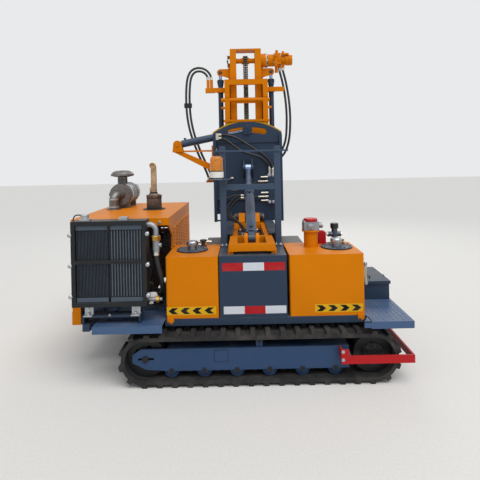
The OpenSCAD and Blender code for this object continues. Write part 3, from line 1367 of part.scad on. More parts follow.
// A smooth route through points chosen by hand, with steps points for each stretch
function curve_point(a, b, c, d, t) = 0.5 * ((2 * b) + (c - a) * t + (2 * a - 5 * b + 4 * c - d) * t * t
    + (3 * b - a - 3 * c + d) * t * t * t);
function smooth(p, steps) = [for (i = [0 : len(p) - 2]) for (j = [0 : steps - 1])
    curve_point(p[max(i - 1, 0)], p[i], p[i + 1], p[min(i + 2, len(p) - 1)], j / steps),
    p[len(p) - 1]];
module loop_hose_1() {
    color(black) hose(smooth(loop_route_1, 3), hose_d);
}
module loop_hose_2() {
    color(black) hose(smooth(loop_route_2, 3), hose_d);
}
module motor_hose_1() {
    color(black) hose(smooth(motor_route_1, 3), hose_d);
}
module motor_hose_2() {
    color(black) hose(smooth(motor_route_2, 3), hose_d);
}
module plate_hose_1() {
    color(black) hose(smooth(plate_route_1, 3), hose_d);
}
module plate_hose_2() {
    color(black) hose(smooth(plate_route_2, 3), hose_d);
}

deck_frame();
track_frames();
track_near();
track_far();
track_wheels();
end_guard();
steps();
slide_housing();
slide_guides();
fuel_tank();
oil_tank();
tank_hatches();
filler_caps();
return_filter();
filter_cap();
level_gauge();
valve_block();
engine_hood();
hood_grille();
engine_block();
radiator_frame();
radiator_core();
radiator_stand();
radiator_brackets();
radiator_pipes();
cooler_hose();
air_cleaner();
muffler();
toolbox();
portal_frame();
beacon_base();
beacon_dome();
valve_covers();
control_valves();
toolbox_lid();
slide_frame();
back_plate();
swing_bracket();
hose_fittings();
tilt_barrel();
tilt_rod();
mast_guide();
lift_barrels();
swing_barrel();
swing_rod();
mast();
lift_rods();
drive_motor();
head_sprocket();
mast_chain();
hammer_carriage();
hammer();
drive_cap();
loop_hose_1();
loop_hose_2();
motor_hose_1();
motor_hose_2();
plate_hose_1();
plate_hose_2();
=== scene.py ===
"""Finishes, small fittings, hoses and a plain studio for a tracked pile driver rig.

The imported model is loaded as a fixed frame. Every piece made here sits on that frame, in metres.
"""

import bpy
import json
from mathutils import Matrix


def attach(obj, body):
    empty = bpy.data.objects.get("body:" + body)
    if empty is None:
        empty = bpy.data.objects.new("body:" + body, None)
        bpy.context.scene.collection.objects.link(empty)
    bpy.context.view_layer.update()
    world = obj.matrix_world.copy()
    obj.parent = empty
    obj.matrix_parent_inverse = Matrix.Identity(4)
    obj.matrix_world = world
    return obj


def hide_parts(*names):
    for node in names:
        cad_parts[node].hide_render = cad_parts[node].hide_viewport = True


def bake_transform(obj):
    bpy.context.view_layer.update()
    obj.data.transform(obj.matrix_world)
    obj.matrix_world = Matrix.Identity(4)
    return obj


bl_info = {
    "name": "Tracked pile driver rig",
    "version": (1, 0, 0),
    "blender": (4, 5, 0),
    "location": "3D View > Sidebar > Rig",
    "description": "Finishes and small fittings of a tracked pile driver rig",
    "category": "Object",
}

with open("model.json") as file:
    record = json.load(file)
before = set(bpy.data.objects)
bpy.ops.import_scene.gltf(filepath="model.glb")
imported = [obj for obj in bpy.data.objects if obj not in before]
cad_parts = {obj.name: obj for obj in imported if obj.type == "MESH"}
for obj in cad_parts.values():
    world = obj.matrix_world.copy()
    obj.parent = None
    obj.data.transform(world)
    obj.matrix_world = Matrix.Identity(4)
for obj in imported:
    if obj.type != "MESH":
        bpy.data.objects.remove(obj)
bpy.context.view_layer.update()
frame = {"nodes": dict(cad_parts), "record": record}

import json
import math

import bpy
import numpy as np
from bpy.props import FloatProperty, FloatVectorProperty, IntProperty, PointerProperty
from mathutils import Matrix, Vector

MM = 0.001

# Directions, with the front at low Y
X_AXIS, Y_AXIS, Z_AXIS = (1, 0, 0), (0, 1, 0), (0, 0, 1)
LEFT, FRONT = (-1, 0, 0), (0, -1, 0)

# The mast's middle, and the drive shaft at its head, in millimetres
MAST_X, MAST_Y, HEAD_Z = 140, 510, 2640

# The finishes by name, filled by RIG_OT_finishes
MATERIALS = {}


# Colours

def linear(code):
    """An sRGB hex colour such as #D97706 as linear red, green, blue and alpha."""
    parts = [int(code[i:i + 2], 16) / 255 for i in (1, 3, 5)]
    return tuple(p / 12.92 if p <= 0.04045 else ((p + 0.055) / 1.055) ** 2.4 for p in parts) + (1.0,)


def colour_property(name, code, description):
    """A paint's property, with an sRGB hex colour as its default."""
    return FloatVectorProperty(name=name, description=description, subtype="COLOR", size=4, min=0, max=1,
                               default=linear(code))


class RigColours(bpy.types.PropertyGroup):
    """The paints that a user would change."""
    orange: colour_property("Orange", "#D97D04", "Gloss enamel of the tanks, hood, mast and frame")
    slate: colour_property("Slate", "#25374D", "Satin enamel of the back plate, deck and track frames")
    steel_blue: colour_property("Steel blue", "#384A61", "Satin enamel of the cylinders and portal")
    step_blue: colour_property("Step blue", "#3B587E", "Satin enamel of the steps")
    red: colour_property("Red", "#B4141A", "Gloss enamel of the bumper")
    black: colour_property("Black", "#15171B", "Satin enamel of the radiator, muffler and covers")
    rubber: colour_property("Rubber", "#1D1D1F", "Rubber of the tracks and hoses")
    amber: colour_property("Amber", "#FFB733", "Lens of the beacon")


class RigSizes(bpy.types.PropertyGroup):
    """The sizes of what this script adds."""
    louvre_reach: FloatProperty(name="Louvre reach", description="How far the hood's louvres stand out",
                                default=12 * MM, min=4 * MM, max=20 * MM, unit="LENGTH")
    tread_pitch: FloatProperty(name="Tread pitch", description="Distance between the lozenges on the steps",
                               default=34 * MM, min=28 * MM, max=80 * MM, unit="LENGTH")
    hose_sides: IntProperty(name="Hose sides", description="Sides of a hose's tube",
                            default=16, min=8, max=48)


# Mesh helpers, all in millimetres. A shape is its vertices, an array of (n, 3), and a list of faces.

def unit(v):
    """The vector v / |v|."""
    v = np.asarray(v, float)
    return v / np.linalg.norm(v)


def square_to(axis):
    """Two unit vectors square to an axis and to each other, right-handed with it."""
    axis = unit(axis)
    first = unit(np.cross(axis, (0, 0, 1) if abs(axis[2]) < 0.9 else (0, 1, 0)))
    return first, np.cross(axis, first)


def joined(*shapes):
    """Several shapes as one."""
    vertices, faces, first = [], [], 0
    for points, loops in shapes:
        vertices.append(points)
        faces.extend([[first + i for i in loop] for loop in loops])
        first += len(points)
    return np.vstack(vertices), faces


def put(name, finish, body, *shapes, smooth=False):
    """Puts shapes in as one mesh at the origin with its finish, riding on a body where one is given."""
    vertices, faces = joined(*shapes)
    mesh = bpy.data.meshes.new(name)
    mesh.from_pydata((vertices * MM).tolist(), [], faces)
    mesh.update()
    mesh.polygons.foreach_set("use_smooth", [smooth] * len(mesh.polygons))
    if smooth:
        mesh.set_sharp_from_angle(angle=math.radians(35))
    piece = bpy.data.objects.new(name, mesh)
    bpy.context.scene.collection.objects.link(piece)
    mesh.materials.append(MATERIALS[finish])
    if body:
        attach(piece, body)
    return piece


def ring_faces(rows, sides, capped=True):
    """The quads of a tube of rows rings with the same number of sides, and a flat cap on each end."""
    i, k = np.meshgrid(np.arange(rows - 1), np.arange(sides), indexing="ij")
    a, b = i * sides + k, i * sides + (k + 1) % sides
    faces = np.stack([a, b, b + sides, a + sides], -1).reshape(-1, 4).tolist()
    if capped:
        faces.append(list(range(sides))[::-1])
        faces.append([(rows - 1) * sides + k for k in range(sides)])
    return faces


def lathe(profile, centre, axis, sides=32, teeth=0, depth=0.0):
    """A profile of (radius r, height h) turned round an axis n through c: c + h n + r (cos a u + sin a v).
    With teeth, every second column is sunk by depth, as knurling."""
    profile = np.asarray(profile, float)
    u, v = square_to(axis)
    columns = teeth * 2 if teeth else sides
    angle = np.arange(columns) * 2 * math.pi / columns
    sunk = depth * (np.arange(columns) % 2) if teeth else np.zeros(columns)
    radius = np.maximum(profile[:, :1] - np.where(profile[:, :1] > depth, sunk[None, :], 0), 0.01)
    points = (np.asarray(centre, float) + profile[:, 1][:, None, None] * unit(axis)
              + radius[..., None] * (np.cos(angle)[:, None] * u + np.sin(angle)[:, None] * v))
    return points.reshape(-1, 3), ring_faces(len(profile), columns)


def rod(start, end, diameter, sides=24, bevel=1.0):
    """A round bar from one point to another with a small bevel on both ends."""
    start, end = np.asarray(start, float), np.asarray(end, float)
    length, r = np.linalg.norm(end - start), diameter / 2
    profile = [(r - bevel, 0), (r, bevel), (r, length - bevel), (r - bevel, length)]
    return lathe(profile, start, end - start, sides)


def collar(inner, outer, height, centre, axis, sides):
    """A ring round an axis, from the inner radius out to the outer one 1 mm from both ends."""
    return lathe([(inner, 0), (outer, 1), (outer, height - 1), (inner, height)], centre, axis, sides)


def circle_of(centre, radius, count, turn=0.0, plane="yz"):
    """Places round a circle: c + r (cos a u + sin a v), with u and v the plane's two axes."""
    u, v = (np.eye(3)["xyz".index(letter)] for letter in plane)
    angle = np.arange(count) * 2 * math.pi / count + turn
    way = np.cos(angle)[:, None] * u + np.sin(angle)[:, None] * v
    return list(np.array(centre, float) + radius * way)


def bolt(centre, axis, flats, head):
    """A hexagon head with its chamfer, on a round washer."""
    washer = lathe([(flats * 0.98, 0), (flats * 0.98, 2.2), (flats * 0.9, 2.8)], centre, axis, 20)
    r = flats / math.sqrt(3)
    top = np.asarray(centre, float) + 2.8 * unit(axis)
    hexagon = lathe([(r, 0), (r, head - 1.6), (r * 0.84, head)], top, axis, 6)
    return joined(washer, hexagon)


def extruded(outline, origin, across, up, thickness):
    """A flat outline of (a, b), thickened: o + a p + b q + t (p x q), with p across and q up. The outline is
    run backwards where the solid would turn inside out."""
    outline = np.asarray(outline, float)
    turned = np.roll(outline, -1, 0)
    if (outline[:, 0] * turned[:, 1] - outline[:, 1] * turned[:, 0]).sum() * thickness < 0:
        outline = outline[::-1]
    p, q = unit(across), unit(up)
    flat = np.asarray(origin, float) + outline[:, :1] * p + outline[:, 1:] * q
    points = np.vstack([flat, flat + thickness * np.cross(p, q)])
    return points, ring_faces(2, len(outline))


def block(low, high, bevel=0.0):
    """A box from corner to corner, with its upright edges cut off by bevel."""
    (x0, y0, z0), (x1, y1, z1) = low, high
    e = min(bevel, (x1 - x0) / 2.1, (y1 - y0) / 2.1)
    if e <= 0:
        outline = [(x0, y0), (x1, y0), (x1, y1), (x0, y1)]
    else:
        outline = [(x0 + e, y0), (x1 - e, y0), (x1, y0 + e), (x1, y1 - e), (x1 - e, y1), (x0 + e, y1),
                   (x0, y1 - e), (x0, y0 + e)]
    return extruded(outline, (0, 0, z0), X_AXIS, Y_AXIS, z1 - z0)


def arc_band(centre, inner, outer, half, y0, y1, steps=48):
    """A flat arch about (x, z): its edges are x + r sin a, z + r cos a, with a from -half to half."""
    (x, z), a = centre, np.radians(np.linspace(-half, half, steps))
    rows = [(outer, y0), (outer, y1), (inner, y1), (inner, y0)]
    points = np.stack([np.stack([x + r * np.sin(a), np.full(steps, y), z + r * np.cos(a)], -1)
                       for r, y in rows], 1)
    return points.reshape(-1, 3), [loop[::-1] for loop in ring_faces(steps, 4)]


def smooth_path(points, steps=6):
    """The Catmull-Rom curve through the points. From b to c, with a before and d after them, it is
    0.5 (2b + (c - a) t + (2a - 5b + 4c - d) t^2 + (3b - a - 3c + d) t^3)."""
    p = np.asarray(points, float)
    p = np.vstack([p[:1], p, p[-1:]])
    t = (np.arange(steps) / steps)[None, :, None]
    a, b, c, d = (p[k:len(p) - 3 + k][:, None, :] for k in range(4))
    curve = 0.5 * (2 * b + (c - a) * t + (2 * a - 5 * b + 4 * c - d) * t ** 2
                   + (3 * b - a - 3 * c + d) * t ** 3)
    return np.vstack([curve.reshape(-1, 3), p[-1:]])


def sweep(path, radius, sides=16):
    """A tube along a path p(s): ring = p + r (cos a n + sin a m), with n carried along without twist."""
    path = np.asarray(path, float)
    heading = np.gradient(path, axis=0)
    heading /= np.linalg.norm(heading, axis=1)[:, None]
    side = np.empty_like(path)
    side[0] = square_to(heading[0])[0]
    for i in range(1, len(path)):
        side[i] = unit(side[i - 1] - heading[i] * side[i - 1].dot(heading[i]))
    other = np.cross(heading, side)
    angle = np.arange(sides) * 2 * math.pi / sides
    rings = path[:, None, :] + radius * (np.cos(angle)[:, None] * side[:, None, :]
                                         + np.sin(angle)[:, None] * other[:, None, :])
    return rings.reshape(-1, 3), ring_faces(len(path), sides)


HOSE_GIRTH = 0.075


def tube_map(mesh, path, sides):
    """The map HoseMap of a swept tube, in metres: u runs along it, and v round it as on a hose of 24 mm. The
    end caps keep one point."""
    run = np.concatenate([[0], np.cumsum(np.linalg.norm(np.diff(path, axis=0), axis=1))])
    i, k = np.meshgrid(np.arange(len(path) - 1), np.arange(sides), indexing="ij")
    u = np.stack([run[i], run[i], run[i + 1], run[i + 1]], -1)
    v = np.stack([k, k + 1, k + 1, k], -1) * (HOSE_GIRTH / sides)
    flat = np.zeros(len(mesh.loops) * 2)
    flat[:u.size * 2] = np.stack([u, v], -1).reshape(-1)
    mesh.uv_layers.new(name="HoseMap").data.foreach_set("uv", flat)


# Nodes

def add(tree, kind, inputs=None, stops=None, **settings):
    """Adds one shader node with its settings, and sets or links its inputs. Stops are the places and colours
    of a ramp."""
    node = tree.nodes.new("ShaderNode" + kind)
    for key, value in settings.items():
        setattr(node, key, value)
    for key, value in (inputs or {}).items():
        if isinstance(value, bpy.types.NodeSocket):
            tree.links.new(value, node.inputs[key])
        else:
            node.inputs[key].default_value = value
    if stops:
        ramp = node.color_ramp
        while len(ramp.elements) < len(stops):
            ramp.elements.new(0.5)
        for element, (place, colour) in zip(ramp.elements, stops):
            element.position = place
            element.color = colour
    return node


# Materials

# The scale of a noise is about the number of its features in a metre
TONE = 2.2              # slow change of a paint's tone over half a metre
RUBBED = 26.0           # rubbed spots of 4 cm along edges
DUST_CLOUDS = 7.0       # settled dust in clouds of 14 cm
ORANGE_PEEL = 330.0     # ripple of 3 mm left by the spray gun
RUBBER_DUST = 9.0       # patches of 11 cm
RUBBER_PITS = 160.0     # pits of 6 mm, coarser than the real ones so that they show
HOSE_WEAVE = 30.0       # a turn of the wrapping every 21 mm, coarser than the real one so that it shows
HOSE_DUST = 5.0         # patches of 20 cm along a hose
OIL_SMEAR = 14.0        # smears of 7 cm
METAL_GRAIN = 420.0     # marks of 2.4 mm, drawn coarser than real grain so that they show
MOULD_TEXTURE = 240.0   # ripple of 4 mm
HONEYCOMB = 300.0       # cells of 3.3 mm
FILM_DUST = 18.0        # dull spots of 5 cm
BLOTCHES = 16.0         # rust in blotches of 6 cm
FLOOR_SPECKLE = 60.0    # specks of 17 mm

# The colour sockets of a Mix node, whose names are those of its other sockets too
MIX_A, MIX_B, MIX_OUT = 6, 7, 2


def new_material(name):
    """An empty material, its node tree and the object's own coordinates."""
    material = bpy.data.materials.new(name)
    material.use_nodes = True
    tree = material.node_tree
    tree.nodes.clear()
    place = add(tree, "TexCoord").outputs["Object"]
    return material, tree, place


def finished(material, inputs):
    """The material, ended with a shader that has these inputs."""
    tree = material.node_tree
    shader = add(tree, "BsdfPrincipled", inputs)
    add(tree, "OutputMaterial", {"Surface": shader.outputs[0]})
    return material


def dirtied(tree, colour, dirt, noise, start, end, least, most):
    """A colour under dirt, whose share climbs from least to most as the noise climbs from start to end."""
    share = add(tree, "MapRange", {"Value": noise.outputs[0], "From Min": start, "From Max": end,
                                   "To Min": least, "To Max": most})
    mixed = add(tree, "Mix", {"Factor": share.outputs[0], MIX_A: colour, MIX_B: linear(dirt)},
                data_type="RGBA")
    return mixed.outputs[MIX_OUT]


CHIPPED = "#8A8D90"
PALE_DUST = "#B3A893"
DAPPLE = 0.05


def enamel(name, colour, roughness, gloss, dust):
    """Sprayed machine enamel on welded sheet: a soft sheen, orange peel, a slow change of tone, pale dust on
    what faces up, and rubbed edges."""
    material, tree, place = new_material(name)
    slow = add(tree, "TexNoise", {"Vector": place, "Scale": TONE, "Detail": 3.0})
    tone = add(tree, "MapRange", {"Value": slow.outputs[0], "From Min": 0.3, "From Max": 0.7,
                                  "To Min": 1 - DAPPLE, "To Max": 1 + DAPPLE})
    tinted = add(tree, "VectorMath", {0: colour[:3], "Scale": tone.outputs[0]}, operation="SCALE")
    rounded = add(tree, "Bevel", {"Radius": 2.5 * MM}, samples=4)
    true = add(tree, "NewGeometry")
    meet = add(tree, "VectorMath", {0: rounded.outputs[0], 1: true.outputs["Normal"]},
               operation="DOT_PRODUCT")
    rubbed = add(tree, "TexNoise", {"Vector": place, "Scale": RUBBED, "Detail": 5.0, "Roughness": 0.7})
    edges = add(tree, "MapRange", {"Value": meet.outputs["Value"], "From Min": 0.985, "From Max": 0.9,
                                   "To Min": 0.0, "To Max": 1.0})
    spots = add(tree, "MapRange", {"Value": rubbed.outputs[0], "From Min": 0.56, "From Max": 0.66,
                                   "To Min": 0.0, "To Max": 0.75})
    wear = add(tree, "Math", {0: edges.outputs[0], 1: spots.outputs[0]}, operation="MULTIPLY")
    worn = add(tree, "Mix", {"Factor": wear.outputs[0], MIX_A: tinted.outputs[0], MIX_B: linear(CHIPPED)},
               data_type="RGBA")
    up = add(tree, "SeparateXYZ", {0: true.outputs["Normal"]})
    film = add(tree, "TexNoise", {"Vector": place, "Scale": DUST_CLOUDS, "Detail": 6.0, "Roughness": 0.65})
    settled = add(tree, "MapRange", {"Value": up.outputs[2], "From Min": 0.2, "From Max": 1.0,
                                     "To Min": 0.03, "To Max": 1.0})
    cloud = add(tree, "MapRange", {"Value": film.outputs[0], "From Min": 0.35, "From Max": 0.75,
                                   "To Min": 0.0, "To Max": dust})
    dusty = add(tree, "Math", {0: settled.outputs[0], 1: cloud.outputs[0]}, operation="MULTIPLY")
    surface = add(tree, "Mix", {"Factor": dusty.outputs[0], MIX_A: worn.outputs[MIX_OUT],
                                MIX_B: linear(PALE_DUST)}, data_type="RGBA")
    matt = add(tree, "MapRange", {"Value": dusty.outputs[0], "From Min": 0.0, "From Max": 0.5,
                                  "To Min": roughness, "To Max": min(1.0, roughness + 0.3)})
    peel = add(tree, "TexNoise", {"Vector": place, "Scale": ORANGE_PEEL, "Detail": 2.0})
    bump = add(tree, "Bump", {"Strength": 0.06, "Distance": 0.4 * MM, "Height": peel.outputs[0],
                              "Normal": rounded.outputs[0]})
    return finished(material, {
        "Base Color": surface.outputs[MIX_OUT], "Roughness": matt.outputs[0], "Specular IOR Level": gloss,
        "Normal": bump.outputs[0]})


def moulded_rubber(name, colour, dust):
    """Moulded black rubber: matt, finely pitted, with dry grey-brown dust in patches."""
    material, tree, place = new_material(name)
    patches = add(tree, "TexNoise", {"Vector": place, "Scale": RUBBER_DUST, "Detail": 7.0, "Roughness": 0.7})
    surface = dirtied(tree, colour, "#5E5A55", patches, 0.42, 0.72, 0.05, dust)
    rounded = add(tree, "Bevel", {"Radius": 4 * MM}, samples=4)
    pits = add(tree, "TexNoise", {"Vector": place, "Scale": RUBBER_PITS, "Detail": 4.0, "Roughness": 0.7})
    bump = add(tree, "Bump", {"Strength": 0.35, "Distance": 1.2 * MM, "Height": pits.outputs[0],
                              "Normal": rounded.outputs[0]})
    return finished(material, {
        "Base Color": surface, "Roughness": 0.78, "Specular IOR Level": 0.35, "Normal": bump.outputs[0]})


def hose_rubber(name, colour):
    """Wrapped hydraulic hose: black rubber with the spiral weave of its wrapping along the hose's map."""
    material, tree, _ = new_material(name)
    along = add(tree, "UVMap", uv_map="HoseMap").outputs[0]
    weave = add(tree, "TexWave", {"Vector": along, "Scale": HOSE_WEAVE, "Distortion": 0.6},
                wave_type="BANDS", bands_direction="DIAGONAL")
    patches = add(tree, "TexNoise", {"Vector": along, "Scale": HOSE_DUST, "Detail": 5.0})
    surface = dirtied(tree, colour, "#6E6A62", patches, 0.45, 0.75, 0.0, 0.25)
    bump = add(tree, "Bump", {"Strength": 0.3, "Distance": 0.6 * MM, "Height": weave.outputs[0]})
    return finished(material, {
        "Base Color": surface, "Roughness": 0.45, "Specular IOR Level": 0.5, "Normal": bump.outputs[0]})


def bare_metal(name, code, roughness, brushed, dirt, dirt_code="#3A3128"):
    """Bare or plated metal: it mirrors softly under a smeared film of oil and dust. Brushed is the depth of
    its fine marks."""
    material, tree, place = new_material(name)
    smear = add(tree, "TexNoise", {"Vector": place, "Scale": OIL_SMEAR, "Detail": 6.0, "Roughness": 0.7})
    surface = dirtied(tree, linear(code), dirt_code, smear, 0.4, 0.8, 0.0, dirt)
    rough = add(tree, "MapRange", {"Value": smear.outputs[0], "From Min": 0.3, "From Max": 0.8,
                                   "To Min": roughness, "To Max": min(1.0, roughness + 0.25)})
    rounded = add(tree, "Bevel", {"Radius": 1.5 * MM}, samples=4)
    grain = add(tree, "TexNoise", {"Vector": place, "Scale": METAL_GRAIN, "Detail": 2.0})
    bump = add(tree, "Bump", {"Strength": brushed, "Distance": 0.3 * MM, "Height": grain.outputs[0],
                              "Normal": rounded.outputs[0]})
    return finished(material, {
        "Base Color": surface, "Metallic": 1.0, "Roughness": rough.outputs[0], "Normal": bump.outputs[0]})


def plastic(name, colour, roughness, through=0.0):
    """Moulded plastic: an even colour with a faint mould texture. Through is the share of light that a lens
    lets pass."""
    material, tree, place = new_material(name)
    mould = add(tree, "TexNoise", {"Vector": place, "Scale": MOULD_TEXTURE, "Detail": 2.0})
    bump = add(tree, "Bump", {"Strength": 0.05, "Distance": 0.4 * MM, "Height": mould.outputs[0]})
    return finished(material, {
        "Base Color": colour, "Roughness": roughness, "Transmission Weight": through,
        "Normal": bump.outputs[0]})


def sheet_tape(name, code, roughness=0.35):
    """Reflective sheeting: a clear film over a fine honeycomb of about 3 mm cells, dulled by dust."""
    material, tree, place = new_material(name)
    cells = add(tree, "TexVoronoi", {"Vector": place, "Scale": HONEYCOMB}, feature="DISTANCE_TO_EDGE")
    film = add(tree, "TexNoise", {"Vector": place, "Scale": FILM_DUST, "Detail": 5.0})
    surface = dirtied(tree, linear(code), "#8C857A", film, 0.4, 0.75, 0.0, 0.1)
    bump = add(tree, "Bump", {"Strength": 0.12, "Distance": 0.2 * MM, "Height": cells.outputs[0]})
    return finished(material, {
        "Base Color": surface, "Roughness": roughness, "Specular IOR Level": 0.2, "Normal": bump.outputs[0]})


def heated_steel(name, low, high, bottom, top):
    """Steel whose black paint has burnt off: brown rust in blotches, dark at the bottom height, and pale and
    dry at the top one."""
    material, tree, place = new_material(name)
    height = add(tree, "SeparateXYZ", {0: place})
    climb = add(tree, "MapRange", {"Value": height.outputs[2], "From Min": bottom * MM,
                                   "From Max": top * MM, "To Min": 0.0, "To Max": 1.0})
    blotch = add(tree, "TexNoise", {"Vector": place, "Scale": BLOTCHES, "Detail": 8.0, "Roughness": 0.72})
    spread = add(tree, "Math", {0: blotch.outputs[0], 1: -0.5}, operation="ADD")
    widened = add(tree, "Math", {0: spread.outputs[0], 1: 1.6, 2: climb.outputs[0]},
                  operation="MULTIPLY_ADD")
    surface = add(tree, "ValToRGB", {"Fac": widened.outputs[0]},
                  stops=[(0.05, linear(low)), (0.45, linear("#5E5149")), (0.95, linear(high))])
    bump = add(tree, "Bump", {"Strength": 0.4, "Distance": 0.8 * MM, "Height": blotch.outputs[0]})
    return finished(material, {
        "Base Color": surface.outputs[0], "Roughness": 0.75, "Metallic": 0.0, "Normal": bump.outputs[0]})


def make_materials(colours):
    """Every finish of the machine, under the record's own slot name where it has one."""
    MATERIALS.update({
        # Enamel sprayed on welded steel: glossy where bright, satin where dark, under light dust
        "orange_paint": enamel("OrangeEnamel", colours.orange, 0.4, 0.08, dust=0.05),
        "slate_paint": enamel("SlateEnamel", colours.slate, 0.42, 0.3, dust=0.22),
        "steel_blue_paint": enamel("SteelBlueEnamel", colours.steel_blue, 0.36, 0.35, dust=0.18),
        "frame_paint": enamel("TrackFrameEnamel", linear("#2A466A"), 0.4, 0.3, dust=0.15),
        "step_paint": enamel("StepBlueEnamel", colours.step_blue, 0.35, 0.5, dust=0.2),
        "red_paint": enamel("RedEnamel", colours.red, 0.32, 0.25, dust=0.12),
        "black_paint": enamel("BlackEnamel", colours.black, 0.42, 0.35, dust=0.2),
        "engine_iron": enamel("EngineEnamel", linear("#26282B"), 0.6, 0.3, dust=0.3),
        "header_paint": enamel("HeaderEnamel", linear("#4A5663"), 0.5, 0.3, dust=0.15),
        # Painted highlight: a yellow enamel that stands in for the lit edge of the orange guide's arch
        "painted_highlight_edge": enamel("PaintedHighlightEdgeEnamel", linear("#D2A012"), 0.35, 0.2, dust=0.1),
        # Moulded and wrapped rubber, matt and dusty
        "track_rubber": moulded_rubber("TrackRubber", colours.rubber, 0.5),
        "hose_rubber": hose_rubber("HoseRubber", colours.rubber),
        "gasket_rubber": moulded_rubber("GasketRubber", colours.rubber, 0.2),
        # Oiled, polished, cast, zinc-plated and chromed metal, from a dull grey to a bright mirror
        "chain_steel": bare_metal("OiledChainSteel", "#5A544C", 0.38, 0.15, 0.5),
        "bright_metal": bare_metal("PolishedSteel", "#A6AAB0", 0.2, 0.02, 0.2),
        "cast_metal": bare_metal("CastAluminium", "#9B9EA2", 0.42, 0.25, 0.35),
        "galvanised": bare_metal("GalvanisedSteel", "#B4B7BA", 0.42, 0.15, 0.15, "#7F7A70"),
        "fitting_steel": bare_metal("PlatedFittings", "#C4C2B8", 0.28, 0.05, 0.15),
        # Chromed steel whose blue-grey colour is a painted reflection of blue surroundings
        "chrome_rod": bare_metal("ChromedRodPaintedReflection", "#8C9EBC", 0.3, 0.0, 0.1),
        "bolt_steel": bare_metal("ZincBolts", "#B9BCC0", 0.32, 0.05, 0.35),
        "brass": bare_metal("Brass", "#B58A3C", 0.3, 0.05, 0.25),
        "dark_steel": bare_metal("PhosphatedSteel", "#59616C", 0.38, 0.1, 0.4, "#23262B"),
        "cleaner_steel": bare_metal("DullCleanerSteel", "#7F7D7B", 0.4, 0.2, 0.6, "#2E2823"),
        # Aluminium fins and tubes under thin dark paint, duller than bare metal
        "radiator_fins": bare_metal("BlackenedFins", "#3C3F45", 0.55, 0.1, 0.35),
        "tube_dark": bare_metal("DarkCoolerTubes", "#4A525C", 0.5, 0.1, 0.3),
        "tube_bright": bare_metal("BrightCoolerTubes", "#626C78", 0.42, 0.1, 0.3),
        # Rust over burnt paint, between the silencer's foot and outlet in millimetres
        "heated_steel": heated_steel("HeatedSilencerSteel", "#292524", "#CDB28C", 1130, 1420),
        # Moulded plastic and clear lenses, smooth and evenly coloured
        "white_plastic": plastic("WhiteHousing", linear("#E9E7E1"), 0.4),
        "amber_plastic": plastic("AmberLens", colours.amber, 0.08, 0.7),
        "lamp_reflector": plastic("LampReflector", linear("#FFF3C4"), 0.3),
        "black_plastic": plastic("BlackKnob", colours.black, 0.35),
        "gauge_glass": plastic("GaugeGlass", linear("#D8D2BC"), 0.1, 0.5),
        # Reflective sheeting and printed film with a dull sheen
        "red_tape": sheet_tape("RedReflectiveTape", "#B3121C"),
        "white_tape": sheet_tape("WhiteReflectiveTape", "#D4D8E0"),
        "yellow_tape": sheet_tape("YellowBandFilm", "#E0AE0C"),
        "black_tape": sheet_tape("BlackBandFilm", "#070707", 0.6),
    })


# Solids whose finish differs from their slot's own
FINISH_OF = {
    "muffler": "heated_steel", "air_cleaner": "cleaner_steel", "control_valves": "dark_steel",
    "track_frames": "frame_paint",
}


class RIG_OT_finishes(bpy.types.Operator):
    """Gives every solid of the frame its finish"""
    bl_idname = "rig.finishes"
    bl_label = "Finishes"

    def execute(self, context):
        make_materials(context.scene.rig_colours)
        for part in frame["record"]["subparts"]:
            node = frame["nodes"][part["node"]]
            node.data.materials.clear()
            node.data.materials.append(MATERIALS[FINISH_OF.get(part["node"], part["material_slot"])])
        return {"FINISHED"}


# Hoses

LONG_WIDTH, COOLER_WIDTH, SMALL_WIDTH, OVERFLOW_WIDTH = 0.024, 0.038, 0.016, 0.009

